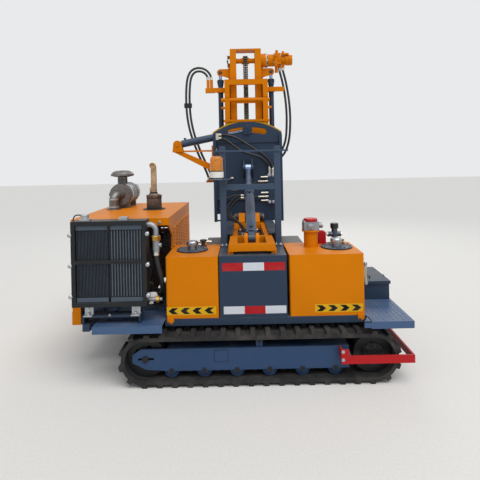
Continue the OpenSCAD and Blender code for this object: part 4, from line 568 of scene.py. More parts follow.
# The routes of the source's own hoses, in metres: body, diameter, lay, points
HOSES = {
    "loop_hose_1": ("swing", LONG_WIDTH, "hanging", (
        (-0.226, 0.492, 2.440), (-0.236, 0.492, 2.490), (-0.265, 0.492, 2.533), (-0.308, 0.492, 2.562),
        (-0.358, 0.492, 2.572), (-0.408, 0.492, 2.562), (-0.450, 0.492, 2.530), (-0.478, 0.492, 2.470),
        (-0.492, 0.492, 2.390), (-0.498, 0.492, 2.290), (-0.498, 0.492, 2.160), (-0.488, 0.492, 2.030),
        (-0.464, 0.492, 1.900), (-0.428, 0.492, 1.780), (-0.384, 0.492, 1.660), (-0.336, 0.492, 1.550),
        (-0.298, 0.492, 1.460), (-0.278, 0.492, 1.400), (-0.276, 0.492, 1.374))),
    "loop_hose_2": ("swing", LONG_WIDTH, "hanging", (
        (-0.262, 0.492, 2.440), (-0.269, 0.492, 2.477), (-0.290, 0.492, 2.508), (-0.321, 0.492, 2.529),
        (-0.358, 0.492, 2.536), (-0.395, 0.492, 2.528), (-0.426, 0.492, 2.500), (-0.446, 0.492, 2.450),
        (-0.456, 0.492, 2.380), (-0.462, 0.492, 2.290), (-0.462, 0.492, 2.160), (-0.452, 0.492, 2.030),
        (-0.428, 0.492, 1.900), (-0.392, 0.492, 1.780), (-0.348, 0.492, 1.660), (-0.300, 0.492, 1.550),
        (-0.262, 0.492, 1.460), (-0.242, 0.492, 1.400), (-0.240, 0.492, 1.374))),
    "motor_hose_1": ("mast", LONG_WIDTH, "hanging", (
        (0.540, 0.510, 2.560), (0.542, 0.510, 2.520), (0.566, 0.512, 2.420), (0.590, 0.516, 2.280),
        (0.606, 0.522, 2.120), (0.608, 0.528, 1.960), (0.594, 0.536, 1.800), (0.555, 0.546, 1.670),
        (0.490, 0.554, 1.590), (0.425, 0.556, 1.564), (0.372, 0.556, 1.562))),
    "motor_hose_2": ("mast", LONG_WIDTH, "hanging", (
        (0.506, 0.530, 2.560), (0.508, 0.530, 2.520), (0.532, 0.532, 2.420), (0.556, 0.536, 2.280),
        (0.571, 0.542, 2.120), (0.572, 0.546, 1.960), (0.560, 0.550, 1.810), (0.525, 0.554, 1.700),
        (0.470, 0.556, 1.626), (0.420, 0.556, 1.602), (0.372, 0.556, 1.600))),
    "plate_hose_1": ("tilt", LONG_WIDTH, "loose", (
        (-0.148, 0.230, 1.836), (-0.110, 0.222, 1.836), (-0.070, 0.212, 1.833), (0.000, 0.208, 1.816),
        (0.090, 0.208, 1.770), (0.180, 0.208, 1.708), (0.270, 0.212, 1.650), (0.340, 0.218, 1.590),
        (0.378, 0.226, 1.530), (0.388, 0.232, 1.490), (0.388, 0.232, 1.478))),
    "plate_hose_2": ("tilt", LONG_WIDTH, "loose", (
        (-0.148, 0.230, 1.802), (-0.120, 0.224, 1.801), (-0.070, 0.210, 1.783), (0.010, 0.204, 1.720),
        (0.080, 0.198, 1.672), (0.170, 0.196, 1.640), (0.250, 0.200, 1.610), (0.310, 0.212, 1.570),
        (0.346, 0.226, 1.520), (0.354, 0.232, 1.478))),
    "cooler_hose": ("chassis", COOLER_WIDTH, "loose", (
        (-0.546, -1.000, 0.940), (-0.546, -1.000, 0.900), (-0.536, -0.988, 0.830), (-0.524, -0.955, 0.740),
        (-0.524, -0.905, 0.668), (-0.536, -0.848, 0.620), (-0.562, -0.788, 0.594), (-0.602, -0.720, 0.580),
        (-0.644, -0.655, 0.576), (-0.676, -0.604, 0.575), (-0.690, -0.566, 0.575), (-0.690, -0.545, 0.575))),
}

# Short hoses that no solid stands for. The two without a body cross from the tilt cylinder to the slide
SMALL_HOSES = {
    "RodPortHose": (None, SMALL_WIDTH, "loose", (
        (0.094, -0.262, 1.262), (0.060, -0.258, 1.262), (0.020, -0.240, 1.245), (-0.020, -0.222, 1.205),
        (-0.050, -0.210, 1.160), (-0.058, -0.205, 1.115), (-0.038, -0.215, 1.072), (0.004, -0.238, 1.042),
        (0.044, -0.264, 1.014), (0.066, -0.292, 0.980), (0.070, -0.312, 0.945), (0.070, -0.320, 0.912))),
    "BasePortHose": (None, SMALL_WIDTH, "loose", (
        (0.094, -0.296, 1.244), (0.066, -0.292, 1.242), (0.030, -0.272, 1.222), (-0.004, -0.252, 1.185),
        (-0.028, -0.240, 1.145), (-0.034, -0.238, 1.108), (-0.016, -0.250, 1.076), (0.018, -0.270, 1.050),
        (0.056, -0.292, 1.016), (0.086, -0.310, 0.980), (0.094, -0.326, 0.945), (0.094, -0.332, 0.912))),
    "PlateLink1": ("tilt", SMALL_WIDTH, "loose", (
        (0.266, 0.242, 1.362), (0.236, 0.236, 1.362), (0.196, 0.226, 1.350), (0.150, 0.216, 1.328),
        (0.100, 0.210, 1.302), (0.046, 0.208, 1.282), (-0.006, 0.208, 1.276), (-0.050, 0.212, 1.290),
        (-0.076, 0.218, 1.322), (-0.076, 0.228, 1.358), (-0.058, 0.240, 1.384), (-0.036, 0.250, 1.396),
        (-0.010, 0.258, 1.400))),
    "PlateLink2": ("tilt", SMALL_WIDTH, "loose", (
        (0.266, 0.242, 1.208), (0.236, 0.236, 1.208), (0.190, 0.226, 1.212), (0.136, 0.218, 1.222),
        (0.080, 0.212, 1.232), (0.020, 0.208, 1.232), (-0.040, 0.206, 1.218), (-0.092, 0.208, 1.196),
        (-0.130, 0.214, 1.166), (-0.146, 0.224, 1.132), (-0.144, 0.240, 1.104), (-0.138, 0.258, 1.086))),
}
# The two bodies that the crossing hoses join, and two points along them. The hoses are baked in place and do
# not bend there
PORT_BEND = ("tilt_tube", "slide", (-0.02, -0.24, 1.20), (0.08, -0.31, 0.98))

# The thin pipe at the radiator's cap
OVERFLOW = (
    (-1.128, -0.985, 1.120), (-1.136, -0.985, 1.150), (-1.136, -0.985, 1.180), (-1.120, -0.990, 1.202),
    (-1.095, -0.998, 1.208), (-1.070, -1.004, 1.205), (-1.046, -1.005, 1.199),
)

# A crimped sleeve: how far it stands out of the hose, and how far from its end
SLEEVE = ((0.6, 0), (3.2, 1.5), (3.2, 12), (1.8, 14), (3.2, 16), (3.2, 28), (0.6, 31))


def make_cord(name, body, diameter, lay, points, sides, nodes=(), ends="fitting_steel", bend=None):
    """One free hose as a swept tube with a crimped sleeve on both ends. Where it crosses a joint, bend holds
    the two bodies and two points along the hose, and the hose and its sleeves are then baked where they
    stand."""
    path = smooth_path(points)
    radius = diameter / MM / 2
    hose = put(name, "hose_rubber", body, sweep(path / MM, radius, sides), smooth=True)
    tube_map(hose.data, path, sides)
    sleeves = [lathe([(radius + out, along) for out, along in SLEEVE], end / MM, inward - end, 24)
               for end, inward in ((path[0], path[2]), (path[-1], path[-3]))]
    sleeve = put(name + "_sleeves", ends, body, *sleeves, smooth=True)
    if bend:
        for piece in (hose, sleeve):
            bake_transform(piece)
    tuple(points[0])
    if nodes:
        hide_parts(*nodes)


class RIG_OT_hoses(bpy.types.Operator):
    """Makes the hydraulic hoses with crimped sleeves, and what holds the two of the tilt cylinder"""
    bl_idname = "rig.hoses"
    bl_label = "Hoses"

    def execute(self, context):
        sides = context.scene.rig_sizes.hose_sides
        for name, (body, diameter, lay, points) in HOSES.items():
            make_cord(name.title().replace("_", ""), body, diameter, lay, points, sides, (name,))
        for name, (body, diameter, lay, points) in SMALL_HOSES.items():
            make_cord(name, body, diameter, lay, points, sides, bend=None if body else PORT_BEND)
        put("HoseShelf", "orange_paint", "slide", block((22, -352, 904), (112, -300, 911), 4))
        put("PortBlock", "steel_blue_paint", "tilt_tube", block((88, -306, 1236), (100, -252, 1272), 3))
        return {"FINISHED"}


# Tapes and bands

FRONT_Y = -969.0
TAPE_ROWS = (
    # colours from left to right, left end, low edge, high edge, length of one tape
    (("red", "white", "red"), -81.0, 779.0, 837.0, 150.5),
    (("white", "red", "white"), -75.0, 470.0, 525.0, 150.0),
)
CHEVRON_BANDS = (
    # left end, right end, low edge, high edge, direction of the arrows
    (-484.0, -131.0, 471.0, 529.0, -1),
    (580.0, 925.0, 471.0, 528.0, 1),
)
ARROWS = 4
ARROW_REACH = 28.0
ARROW_THICK = 42.0
ARROW_INSET = 12.0
ARROW_MARGIN = 7.0


class RIG_OT_tapes(bpy.types.Operator):
    """Sticks the plain reflective tapes and the chevron bands on the front"""
    bl_idname = "rig.tapes"
    bl_label = "Tapes and chevrons"

    def execute(self, context):
        tapes = {"red": [], "white": []}
        for colours, x, low, high, length in TAPE_ROWS:
            for k, colour in enumerate(colours):
                tapes[colour].append(self.strip(x + k * length, x + (k + 1) * length, low, high))
        put("RedTape", "red_tape", "chassis", *tapes["red"])
        put("WhiteTape", "white_tape", "chassis", *tapes["white"])
        put("YellowBand", "yellow_tape", "chassis", *(self.strip(*band[:4]) for band in CHEVRON_BANDS))
        put("BlackArrows", "black_tape", "chassis",
            *(arrow for band in CHEVRON_BANDS for arrow in self.arrows(*band)))
        return {"FINISHED"}

    def strip(self, x0, x1, low, high):
        """A tape 0.5 mm proud of the front."""
        return block((x0, FRONT_Y - 0.5, low), (x1, FRONT_Y + 0.4, high))

    def arrows(self, x0, x1, low, high, way):
        """Flat arrowheads in a row, each a band of six corners bent at the band's middle line."""
        pitch = (x1 - x0) / (ARROWS + 0.1)
        middle, half = (low + high) / 2, (high - low) / 2 - ARROW_MARGIN
        near, far = -way * ARROW_REACH, -way * (ARROW_REACH + ARROW_THICK)
        for k in range(ARROWS):
            tip = x0 + ARROW_INSET + k * pitch if way < 0 else x1 - ARROW_INSET - k * pitch
            outline = [(tip, middle), (tip + near, middle + half), (tip + far, middle + half),
                       (tip - way * ARROW_THICK, middle), (tip + far, middle - half),
                       (tip + near, middle - half)]
            yield extruded(outline, (0, FRONT_Y - 0.9, 0), X_AXIS, Z_AXIS, -0.6)


# Bolts and the track frames

SPROCKET = (977, -1025, 185)
BOLTS = (
    # name, finish, body, flats, head, axis, places
    ("Bolts_chassis", "bolt_steel", "chassis", 17, 10, Z_AXIS,
     [(x, -622, 896) for x in (340, 372, -60, -92)]),
    ("Bolts_tilt", "bolt_steel", "tilt", 17, 10, FRONT,
     [(x, 262, 1690) for x in (-186, 466)] + [(x, 220, z) for z in (1425, 1156) for x in (350, 390)]),
    ("Bolts_swing", "bolt_steel", "swing", 19, 11, FRONT,
     [(MAST_X + x, 372, z) for x in (-198, 198) for z in (1262, 1318)]),
    ("Bolts_mast", "bolt_steel", "mast", 15, 9, X_AXIS, circle_of((364, MAST_Y, HEAD_Z), 66, 8, 0.2)),
    ("Bolts_mast", "bolt_steel", "mast", 13, 8, LEFT, circle_of((-44, MAST_Y, HEAD_Z), 58, 6)),
    ("DarkBolts_chassis", "dark_steel", "chassis", 17, 9, FRONT, [(x, -975, 421) for x in (-466, 900)]),
    ("SprocketBolts", "black_paint", "chassis", 17, 10, FRONT, circle_of(SPROCKET, 62, 8, plane="xz")),
)
ROLLERS_X, ROLLER_Y, ROLLER_Z = range(-448, 708, 231), -1003.5, 99
TRACK_FACE_Y = -1029.0
COVER_LEFT, COVER_RIGHT, COVER_LOW, COVER_HIGH = -148, -48, 157, 243
SEAM_WIDTH = 3


class RIG_OT_bolts(bpy.types.Operator):
    """Puts the hexagon bolts and washers where the photo and the joints ask for them"""
    bl_idname = "rig.bolts"
    bl_label = "Bolts"

    def execute(self, context):
        pieces = {}
        for name, finish, body, flats, head, axis, places in BOLTS:
            heads = pieces.setdefault((name, finish, body), [])
            heads.extend(bolt(place, axis, flats, head) for place in places)
        for piece, heads in pieces.items():
            put(*piece, *heads)
        put("GuardBolts", "bolt_steel", "chassis",
            *(lathe([(13, 0), (13, 0.4), (10.5, 0.8)], (746, -1099, z), FRONT, 6) for z in (240, 184)))
        return {"FINISHED"}


class RIG_OT_tracks(bpy.types.Operator):
    """Adds the rollers' dished faces and the seam and screws of the track frame's cover"""
    bl_idname = "rig.tracks"
    bl_label = "Track frames"

    def execute(self, context):
        face = [(51.4, 0), (51.4, 9), (46, 10), (43, 4), (36, 4), (34, 8), (28, 9), (25, 4), (18.4, 4)]
        discs = [lathe(face, (x, ROLLER_Y, ROLLER_Z), FRONT, 40) for x in ROLLERS_X]
        screws = [lathe([(5, 0), (5, 1.2), (3, 1.6)], (x, TRACK_FACE_Y - 3, z), FRONT, 6)
                  for x in (COVER_LEFT + 13, COVER_RIGHT - 13) for z in (COVER_LOW + 15, COVER_HIGH - 15)]
        put("RollerFaces", "frame_paint", "chassis", *discs, *screws, smooth=True)
        front, back = TRACK_FACE_Y - 0.5, TRACK_FACE_Y + 0.1
        seam = [block((x, front, COVER_LOW), (x + SEAM_WIDTH, back, COVER_HIGH))
                for x in (COVER_LEFT, COVER_RIGHT - SEAM_WIDTH)]
        seam += [block((COVER_LEFT, front, z), (COVER_RIGHT, back, z + SEAM_WIDTH))
                 for z in (COVER_LOW, COVER_HIGH - SEAM_WIDTH)]
        put("CoverSeam", "black_paint", "chassis", *seam)
        return {"FINISHED"}


# The radiator and the hood

CORES = (
    # half, its left and right end, tubes, width of one, inset of the first, finish of the tubes
    ("Left", -1101.7, -874.5, 22, 5, 6, "tube_dark"),
    ("Right", -860.5, -633.3, 11, 8, 8, "tube_bright"),
)
CORE_LOW, CORE_HIGH, CORE_MARGIN = 616.5, 1118.0, 6
TUBE_LOW, TUBE_HIGH = 636, 1098
HEADERS_LOW, HEADER_TALL = (599.5, 1104.5), 31
COOLER_X, COOLER_Y = -546, -1000
LOUVRES = (
    # first corner, along, outward, length of one, columns, their pitch, rows, their pitch
    ((-490, -593, 563), Y_AXIS, X_AXIS, 112, 7, 150, 17, 29),
    ((-1240, -593, 563), Y_AXIS, X_AXIS, 112, 7, 150, 17, 29),
    ((-1170, 475, 563), X_AXIS, Y_AXIS, 130, 4, 160, 10, 52),
)


class RIG_OT_radiator(bpy.types.Operator):
    """Adds the radiator's fins, tubes, header bands, domed bolts, cap, overflow pipe, clamps and nuts"""
    bl_idname = "rig.radiator"
    bl_label = "Radiator"

    def execute(self, context):
        for half, x0, x1, count, width, inset, finish in CORES:
            pitch = (x1 - x0 - CORE_MARGIN) / count
            lows = [x0 + inset + i * pitch for i in range(count)]
            put(half + "Fins", "radiator_fins", "chassis",
                *(self.fin(low + width + 0.4, low + pitch - 0.4) for low in lows[:-1]))
            put(half + "Tubes", finish, "chassis",
                *(block((low + 0.6, -1038.8, TUBE_LOW), (low + width - 0.6, -1037.4, TUBE_HIGH))
                  for low in lows))
        put("HeaderBands", "header_paint", "chassis",
            *(block((x0 + 1.5, -1042.4, z), (x1 - 1.5, -1041, z + HEADER_TALL), 1)
              for _, x0, x1, *_ in CORES for z in HEADERS_LOW))
        self.fixings()
        make_cord("OverflowPipe", "chassis", OVERFLOW_WIDTH, "loose", OVERFLOW, 12, ends="black_paint")
        return {"FINISHED"}

    def fin(self, x0, x1):
        """A zigzag strip between two tubes: it climbs in steps of 4.5 mm, each 2.2 mm out or in by turns."""
        rise = np.arange(0, 500.1, 4.5)
        y = -1031.5 + 2.2 * (np.arange(len(rise)) % 2)
        edge = np.stack([np.full(len(rise), x0), y, CORE_LOW + rise * (CORE_HIGH - CORE_LOW) / 500], -1)
        k = np.arange(len(rise) - 1) * 2
        points = np.hstack([edge, edge + (x1 - x0, 0, 0)]).reshape(-1, 3)
        return points, np.stack([k, k + 1, k + 3, k + 2], -1).tolist()

    def fixings(self):
        """The frame's domed bolts, the stand's bolts, the filler cap, and the hose's clamps and nuts."""
        dome = [(15, -2), (15, 1), (12.5, 4), (8, 6.4), (0, 7)]
        shapes = [lathe(dome, (x, -1057, z), FRONT, 24) for z in (643, 858, 1073) for x in (-1139, -596)]
        for x in (-1018, -688):
            shapes += [bolt((x, -1046, 513), Z_AXIS, 19, 11), bolt((x, -1033, 545), FRONT, 17, 9)]
        shapes.append(bolt((-870, -1045, 505), Z_AXIS, 13, 8))
        put("RadiatorFixings", "bolt_steel", "chassis", *shapes, smooth=True)
        cap = [(27, 0), (28, 2), (28, 9), (25, 13), (12, 14), (10, 17), (0, 17.5)]
        put("RadiatorCap", "galvanised", "chassis",
            lathe(cap, (-1045, -1005, 1199), Z_AXIS, teeth=20, depth=0.9), smooth=True)
        clamps = [lathe([(22, 0), (23.4, 0.8), (23.4, 11), (22, 12)], (COOLER_X, COOLER_Y, z), Z_AXIS, 32)
                  for z in (944, 962)]
        nut = lathe([(20, 0), (20, 22), (17, 25)], (COOLER_X, COOLER_Y, 992), Z_AXIS, 6)
        put("CoolerClamps", "fitting_steel", "chassis", *clamps, nut, smooth=True)
        put("BrassNuts", "brass", "chassis",
            lathe([(34, 0), (34, 30), (30, 34)], (COOLER_X, COOLER_Y, 1017.5), Z_AXIS, 6),
            lathe([(24, 0), (24, 20), (21, 22.5)], (-550.5, COOLER_Y, 600), X_AXIS, 6))


class RIG_OT_hood(bpy.types.Operator):
    """Adds raised lips to the hood's louvres, and hinges, latches and bolts"""
    bl_idname = "rig.hood"
    bl_label = "Hood"

    def execute(self, context):
        reach = context.scene.rig_sizes.louvre_reach / MM
        lips = []
        for corner, along, outward, length, columns, step, rows, rise in LOUVRES:
            for i in range(columns):
                first = np.array(corner) + i * step * np.array(along)
                lips += [self.lip(first + (0, 0, j * rise), along, outward, length, reach)
                         for j in range(rows)]
        put("LouvreLips", "orange_paint", "chassis", *lips, smooth=True)
        shapes = []
        for x, way in ((-1190, 1), (-540, -1)):
            shapes += [rod((x, 480, z), (x, 480, z + 80), 14, 16) for z in (520, 980)]
            shapes.append(block((x + 20 * way - 16, 475, 760), (x + 20 * way + 16, 486, 850), 4))
        latch = [(20, 0), (20, 8), (16, 11), (0, 11.5)]
        shapes += [lathe(latch, (x, 476, 800), Y_AXIS, 24) for x in (-1110, -620)]
        put("DoorFittings", "black_paint", "chassis", *shapes, smooth=True)
        places = [(-1130, -786, 1112), (-560, -786, 1112)]
        places += [(-1207, -785, z) for z in (520, 700, 880, 1040)]
        put("HoodBolts", "bolt_steel", "chassis", *(bolt(place, FRONT, 13, 7) for place in places))
        return {"FINISHED"}

    def lip(self, corner, along, outward, length, reach):
        """One pressed louvre over its slot: c + l t a + 0.9 r cos q o + (9.5 + 1.1 r sin q) z, with r the
        reach, which falls off to both ends as the root of 1 - (2t - 1)^6."""
        t = np.linspace(0, 1, 9)[:, None, None]
        q = np.linspace(0, math.pi / 2, 5)[None, :, None]
        r = reach * np.sqrt(np.clip(1 - (2 * t - 1) ** 6, 0.02, 1))
        points = (corner + length * t * np.array(along) + 0.9 * r * np.cos(q) * np.array(outward)
                  + (9.5 + 1.1 * r * np.sin(q)) * np.array(Z_AXIS))
        i, k = np.meshgrid(np.arange(8), np.arange(4), indexing="ij")
        a = i * 5 + k
        faces = np.stack([a, a + 5, a + 6, a + 1], -1).reshape(-1, 4).tolist()
        return points.reshape(-1, 3), [face[::-1] for face in faces] if outward[0] else faces


# The air cleaner and the exhaust

CLEANER_X, CLEANER_Z = -1071, 1278
EXHAUST_X, EXHAUST_Y = -729, -150


class RIG_OT_intake(bpy.types.Operator):
    """Adds the air cleaner's bands, rims, clips and rain cap ribs, and the exhaust's rims and clamp"""
    bl_idname = "rig.intake"
    bl_label = "Air cleaner and exhaust"

    def execute(self, context):
        x, z = CLEANER_X, CLEANER_Z
        bands = []
        for y in (20, 250):
            bands.append(collar(105.4, 106.6, 28, (x, y + 3, z), Y_AXIS, 64))
            bands.append(rod((x + 74, y + 14, z + 84), (x + 104, y + 14, z + 62), 9, 16))
        bands += [collar(43.2, 45, 13, (-1111, -104, low), Z_AXIS, 40) for low in (1234, 1165)]
        put("CleanerBands", "galvanised", "chassis", *bands, smooth=True)
        dish = [(100.6, 0), (101.2, 3), (101.2, 22), (99.9, 26)]
        dishes = [lathe(dish, (x, y, z), Y_AXIS, 64) for y in (-32, 290)]
        clips = [block((x - 110, y, z - 12), (x - 99, y + 30, z + 12), 2) for y in (-20, 200)]
        put("CleanerRims", "black_paint", "chassis", *dishes, *clips, smooth=True)
        ribs = [lathe([(46, 0), (48, 1.5), (46, 3)], (x, 55, 1380 + 9 * i), Z_AXIS, 40) for i in range(6)]
        put("RainCapRibs", "black_paint", "chassis", *ribs, smooth=True)
        ring = [(67.4, 0), (69.5, 1.2), (69.5, 6), (67.4, 7)]
        rings = [lathe(ring, (EXHAUST_X, EXHAUST_Y, low), Z_AXIS, 48) for low in (1160, 1248)]
        rings.append(collar(27, 32, 11, (EXHAUST_X, EXHAUST_Y, 1294), Z_AXIS, 32))
        put("MufflerRims", "black_paint", "chassis", *rings, smooth=True)
        put("ExhaustClamp", "heated_steel", "chassis",
            rod((-764, EXHAUST_Y, 1290), (-748, EXHAUST_Y, 1290), 12, 16),
            rod((-757, -158, 1278), (-757, -158, 1345), 17, 20),
            block((-770, -166, 1286), (-744, EXHAUST_Y, 1296), 2), smooth=True)
        return {"FINISHED"}


# The tanks and valves

CAPS_X, CAP_Y = (-320, 797), -724
TANK_TOP, HATCH_TOP, CAP_FOOT, CAP_TOP = 886, 896, 925, 956
GAUGE_X, GAUGE_Y = 967, -900
FILTER_X, FILTER_Y, FILTER_Z = 606, -685, 1052
LEVER_X, LEVER_Y = 822, -553
COCK_Y = -557


class RIG_OT_tanks(bpy.types.Operator):
    """Adds the tanks' caps, washers, gaskets and level gauge, the filter's plug and the valves' knobs"""
    bl_idname = "rig.tanks"
    bl_label = "Tank fittings"

    def execute(self, context):
        self.caps()
        arms = [rod((944, GAUGE_Y, z), (982, GAUGE_Y, z), 14, 20) for z in (657, 793)]
        arms += [lathe([(13, -13), (14, -12), (14, 12), (13, 13)], (GAUGE_X, GAUGE_Y, z), Z_AXIS, 20)
                 for z in (657, 793)]
        put("GaugeArms", "bright_metal", "chassis", *arms, smooth=True)
        put("GaugeGlass", "gauge_glass", "chassis",
            rod((GAUGE_X, GAUGE_Y, 664), (GAUGE_X, GAUGE_Y, 786), 21, 24), smooth=True)
        self.filter()
        self.valves()
        return {"FINISHED"}

    def caps(self):
        """For each tank a knurled cap with a collar below and a boss on top, eight washers and a gasket."""
        caps, washers, rims = [], [], []
        boss = [(38, 0), (38.5, 1), (30, 3), (6, 4), (5, 8), (0, 8.4)]
        gasket = [(120.4, 0), (121.6, 1), (121.6, 3), (120, 4)]
        for x in CAPS_X:
            caps.append(lathe([(44.4, 0), (46, 1.5), (46, 22), (44.4, 24)], (x, CAP_Y, CAP_FOOT), Z_AXIS,
                              teeth=44, depth=1.2))
            caps.append(collar(34.2, 36, 6, (x, CAP_Y, HATCH_TOP), Z_AXIS, 40))
            caps.append(lathe(boss, (x, CAP_Y, CAP_TOP), Z_AXIS, 40))
            washers += [lathe([(13, 0), (13, 1.6), (11.5, 2.2)], place, Z_AXIS, 20)
                        for place in circle_of((x, CAP_Y, HATCH_TOP), 104, 8, math.radians(22), "xy")]
            rims.append(lathe(gasket, (x, CAP_Y, TANK_TOP), Z_AXIS, 72))
        put("KnurledCaps", "bright_metal", "chassis", *caps, smooth=True)
        put("HatchWashers", "bolt_steel", "chassis", *washers)
        put("HatchGaskets", "gasket_rubber", "chassis", *rims, smooth=True)

    def filter(self):
        """The bolts, the knurled indicator and the plug of the return filter's head."""
        x, y, z = FILTER_X - 8, FILTER_Y - 62, FILTER_Z
        steel = [bolt(place, FRONT, 7, 4) for place in circle_of((x, y, z), 18, 4, 0.8, "xz")]
        steel.append(lathe([(20, 0), (20, 6), (17, 9), (0, 9.5)], (FILTER_X + 88, FILTER_Y, z), X_AXIS,
                           teeth=14, depth=1.5))
        steel += [bolt((FILTER_X + dx, FILTER_Y + dy, 1085), Z_AXIS, 10, 6)
                  for dx in (-50, 50) for dy in (-38, 38)]
        put("FilterFixings", "bolt_steel", "chassis", *steel, smooth=True)
        put("FilterPlug", "cast_metal", "chassis", lathe([(22, 0), (22, 4), (19, 6)], (x, y, z), FRONT, 32),
            lathe([(9, 0), (9, 6), (7, 8)], (x, y - 5, z), FRONT, 6), smooth=True)

    def valves(self):
        """The knobs, nuts and brass fittings of the valves on the two tanks."""
        put("ValveKnobs", "black_plastic", "chassis",
            lathe([(31.4, 0), (32.4, 1), (32.4, 36), (28, 41), (0, 41.6)], (LEVER_X, LEVER_Y, 1006), Z_AXIS,
                  teeth=24, depth=0.8),
            lathe([(26, 0), (29, 3), (29, 12), (26, 15), (0, 15.5)], (-250, COCK_Y, 920), Z_AXIS,
                  teeth=12, depth=2), smooth=True)
        put("ValveNuts", "fitting_steel", "chassis", rod((-306, COCK_Y, 916), (-194, COCK_Y, 916), 25.5, 24),
            bolt((LEVER_X - 53, LEVER_Y, 958), LEFT, 24, 10),
            bolt((LEVER_X + 47, LEVER_Y, 958), X_AXIS, 24, 10),
            bolt((-195, COCK_Y, 916), X_AXIS, 19, 10), smooth=True)
        put("BrassFittings", "brass", "chassis",
            lathe([(12, 0), (12, 14), (9, 17), (9, 34), (6, 36)], (870, -640, 896), Z_AXIS, 6),
            lathe([(9, 0), (9, 20), (6, 24)], (-225, -600, TANK_TOP), Z_AXIS, 6))


# The beacon, the steps and the toolbox

BEACON = (-123, -680, 1494)
STEP_TOP = 445
STEPS = (
    # left, right, front and rear edge
    (-970, -504, -1092, -800), (952, 1232, -1092, -655),
)


class RIG_OT_beacon(bpy.types.Operator):
    """Makes the beacon's clear lens as a thin shell, and adds its reflector, lamp and seals"""
    bl_idname = "rig.beacon"
    bl_label = "Beacon"

    def execute(self, context):
        x, y, z = BEACON
        outer = [(50, 0), (54.5, 1), (54.5, 9), (51, 11), (51, 88)]
        outer += [(51 - 26 * (1 - math.cos(t)), 88 + 29 * math.sin(t))
                  for t in np.linspace(0.2, math.pi / 2, 7)]
        outer.append((2, 117.5))
        inner = [(r - 3 if r > 4 else 1, h - 3 if h > 4 else h) for r, h in outer[::-1]]
        points, faces = lathe(outer + inner, BEACON, Z_AXIS, 56)
        lens = put("BeaconLens", "amber_plastic", "chassis", (points, faces[:-2]), smooth=True)
        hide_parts("beacon_dome")
        back = [(30 * math.cos(t), 30 * math.sin(t)) for t in np.radians(np.linspace(-80, 80, 9))]
        bowl = back + [(0.85 * a, 0.85 * b) for a, b in back[::-1]]
        put("BeaconMirror", "lamp_reflector", "chassis", extruded(bowl, (x, y + 4, z + 8), Y_AXIS, LEFT, 70),
            smooth=True)
        put("BeaconBulb", "lamp_reflector", "chassis",
            lathe([(9, 0), (9, 24), (13, 34), (13, 46), (8, 56), (0, 59)], BEACON, Z_AXIS, 24), smooth=True)
        put("BeaconSeals", "gasket_rubber", "chassis", collar(54.8, 56, 6, (x, y, z - 5), Z_AXIS, 64),
            lathe([(55.2, 0), (56.4, 1.5), (56.4, 8), (55.2, 10)], (x, y, z - 62), Z_AXIS, 64), smooth=True)
        return {"FINISHED"}


class RIG_OT_steps(bpy.types.Operator):
    """Adds the steps' tread pattern and corner, and the toolbox's hasp and handle"""
    bl_idname = "rig.steps"
    bl_label = "Steps and toolbox"

    def execute(self, context):
        pitch = context.scene.rig_sizes.tread_pitch / MM
        put("TreadPattern", "step_paint", "chassis",
            *(lozenge for edges in STEPS for lozenge in self.tread(*edges, pitch)))
        put("StepCorner", "step_paint", "chassis",
            extruded([(952, -989), (895, -1099.5), (952, -1099.5)], (0, 0, STEP_TOP - 5), X_AXIS, Y_AXIS, 5),
            block((896, -1099.5, 402), (952, -1094, STEP_TOP)))
        put("ToolboxHasp", "galvanised", "chassis", block((1236.2, -503, 560), (1239.4, -470, 600), 1),
            bolt((1234.6, -486.5, 572), X_AXIS, 6, 2))
        posts = [rod((1100, y, 594), (1100, y, 606), 9, 16) for y in (-560, -300)]
        grip = rod((1100, -564, 606), (1100, -296, 606), 9, 16)
        put("LidHandle", "black_paint", "lid", *posts, grip, smooth=True)
        return {"FINISHED"}

    def tread(self, x0, x1, y0, y1, pitch):
        """Raised lozenges of 26 by 6.4 mm, turned left and right by turns on a square grid."""
        shapes = []
        lozenge = np.array([(-13, 0), (-5, 3.2), (5, 3.2), (13, 0), (5, -3.2), (-5, -3.2)], float)
        for i, x in enumerate(np.arange(x0 + 20, x1 - 16, pitch)):
            for j, y in enumerate(np.arange(y0 + 20, y1 - 16, pitch)):
                turn = math.radians(45 if (i + j) % 2 else -45)
                c, s = math.cos(turn), math.sin(turn)
                outline = lozenge @ np.array([[c, s], [-s, c]])
                shapes.append(extruded(outline, (x, y, STEP_TOP), X_AXIS, Y_AXIS, 1.6))
        return shapes


# The mast's chain and fittings

CHAIN_LINKS = 190
CHAIN_RADIUS = 46.0
CHAIN_FOOT, CHAIN_HEAD = 520.0, float(HEAD_Z)
PIN_REACH, PIN_WIDTH = 24.8, 7.5
ROLLERS, ROLLER_REACH, ROLLER_WIDTH = (-11, 11), 6, 14.5
OUTER_PLATES, INNER_PLATES = (-24, -3.4, 1, 21.6), (-20.6, -6.4, 4, 18.2)
LIFT_X = (-130, 410)
MOTOR_RINGS = (
    # inner and outer radius, height, place along the motor, sides
    (64.5, 66, 10, 372, 64), (64.5, 66, 7, 424, 64), (46.4, 48, 8, 480, 48), (55.4, 57, 6, 600, 48),
)


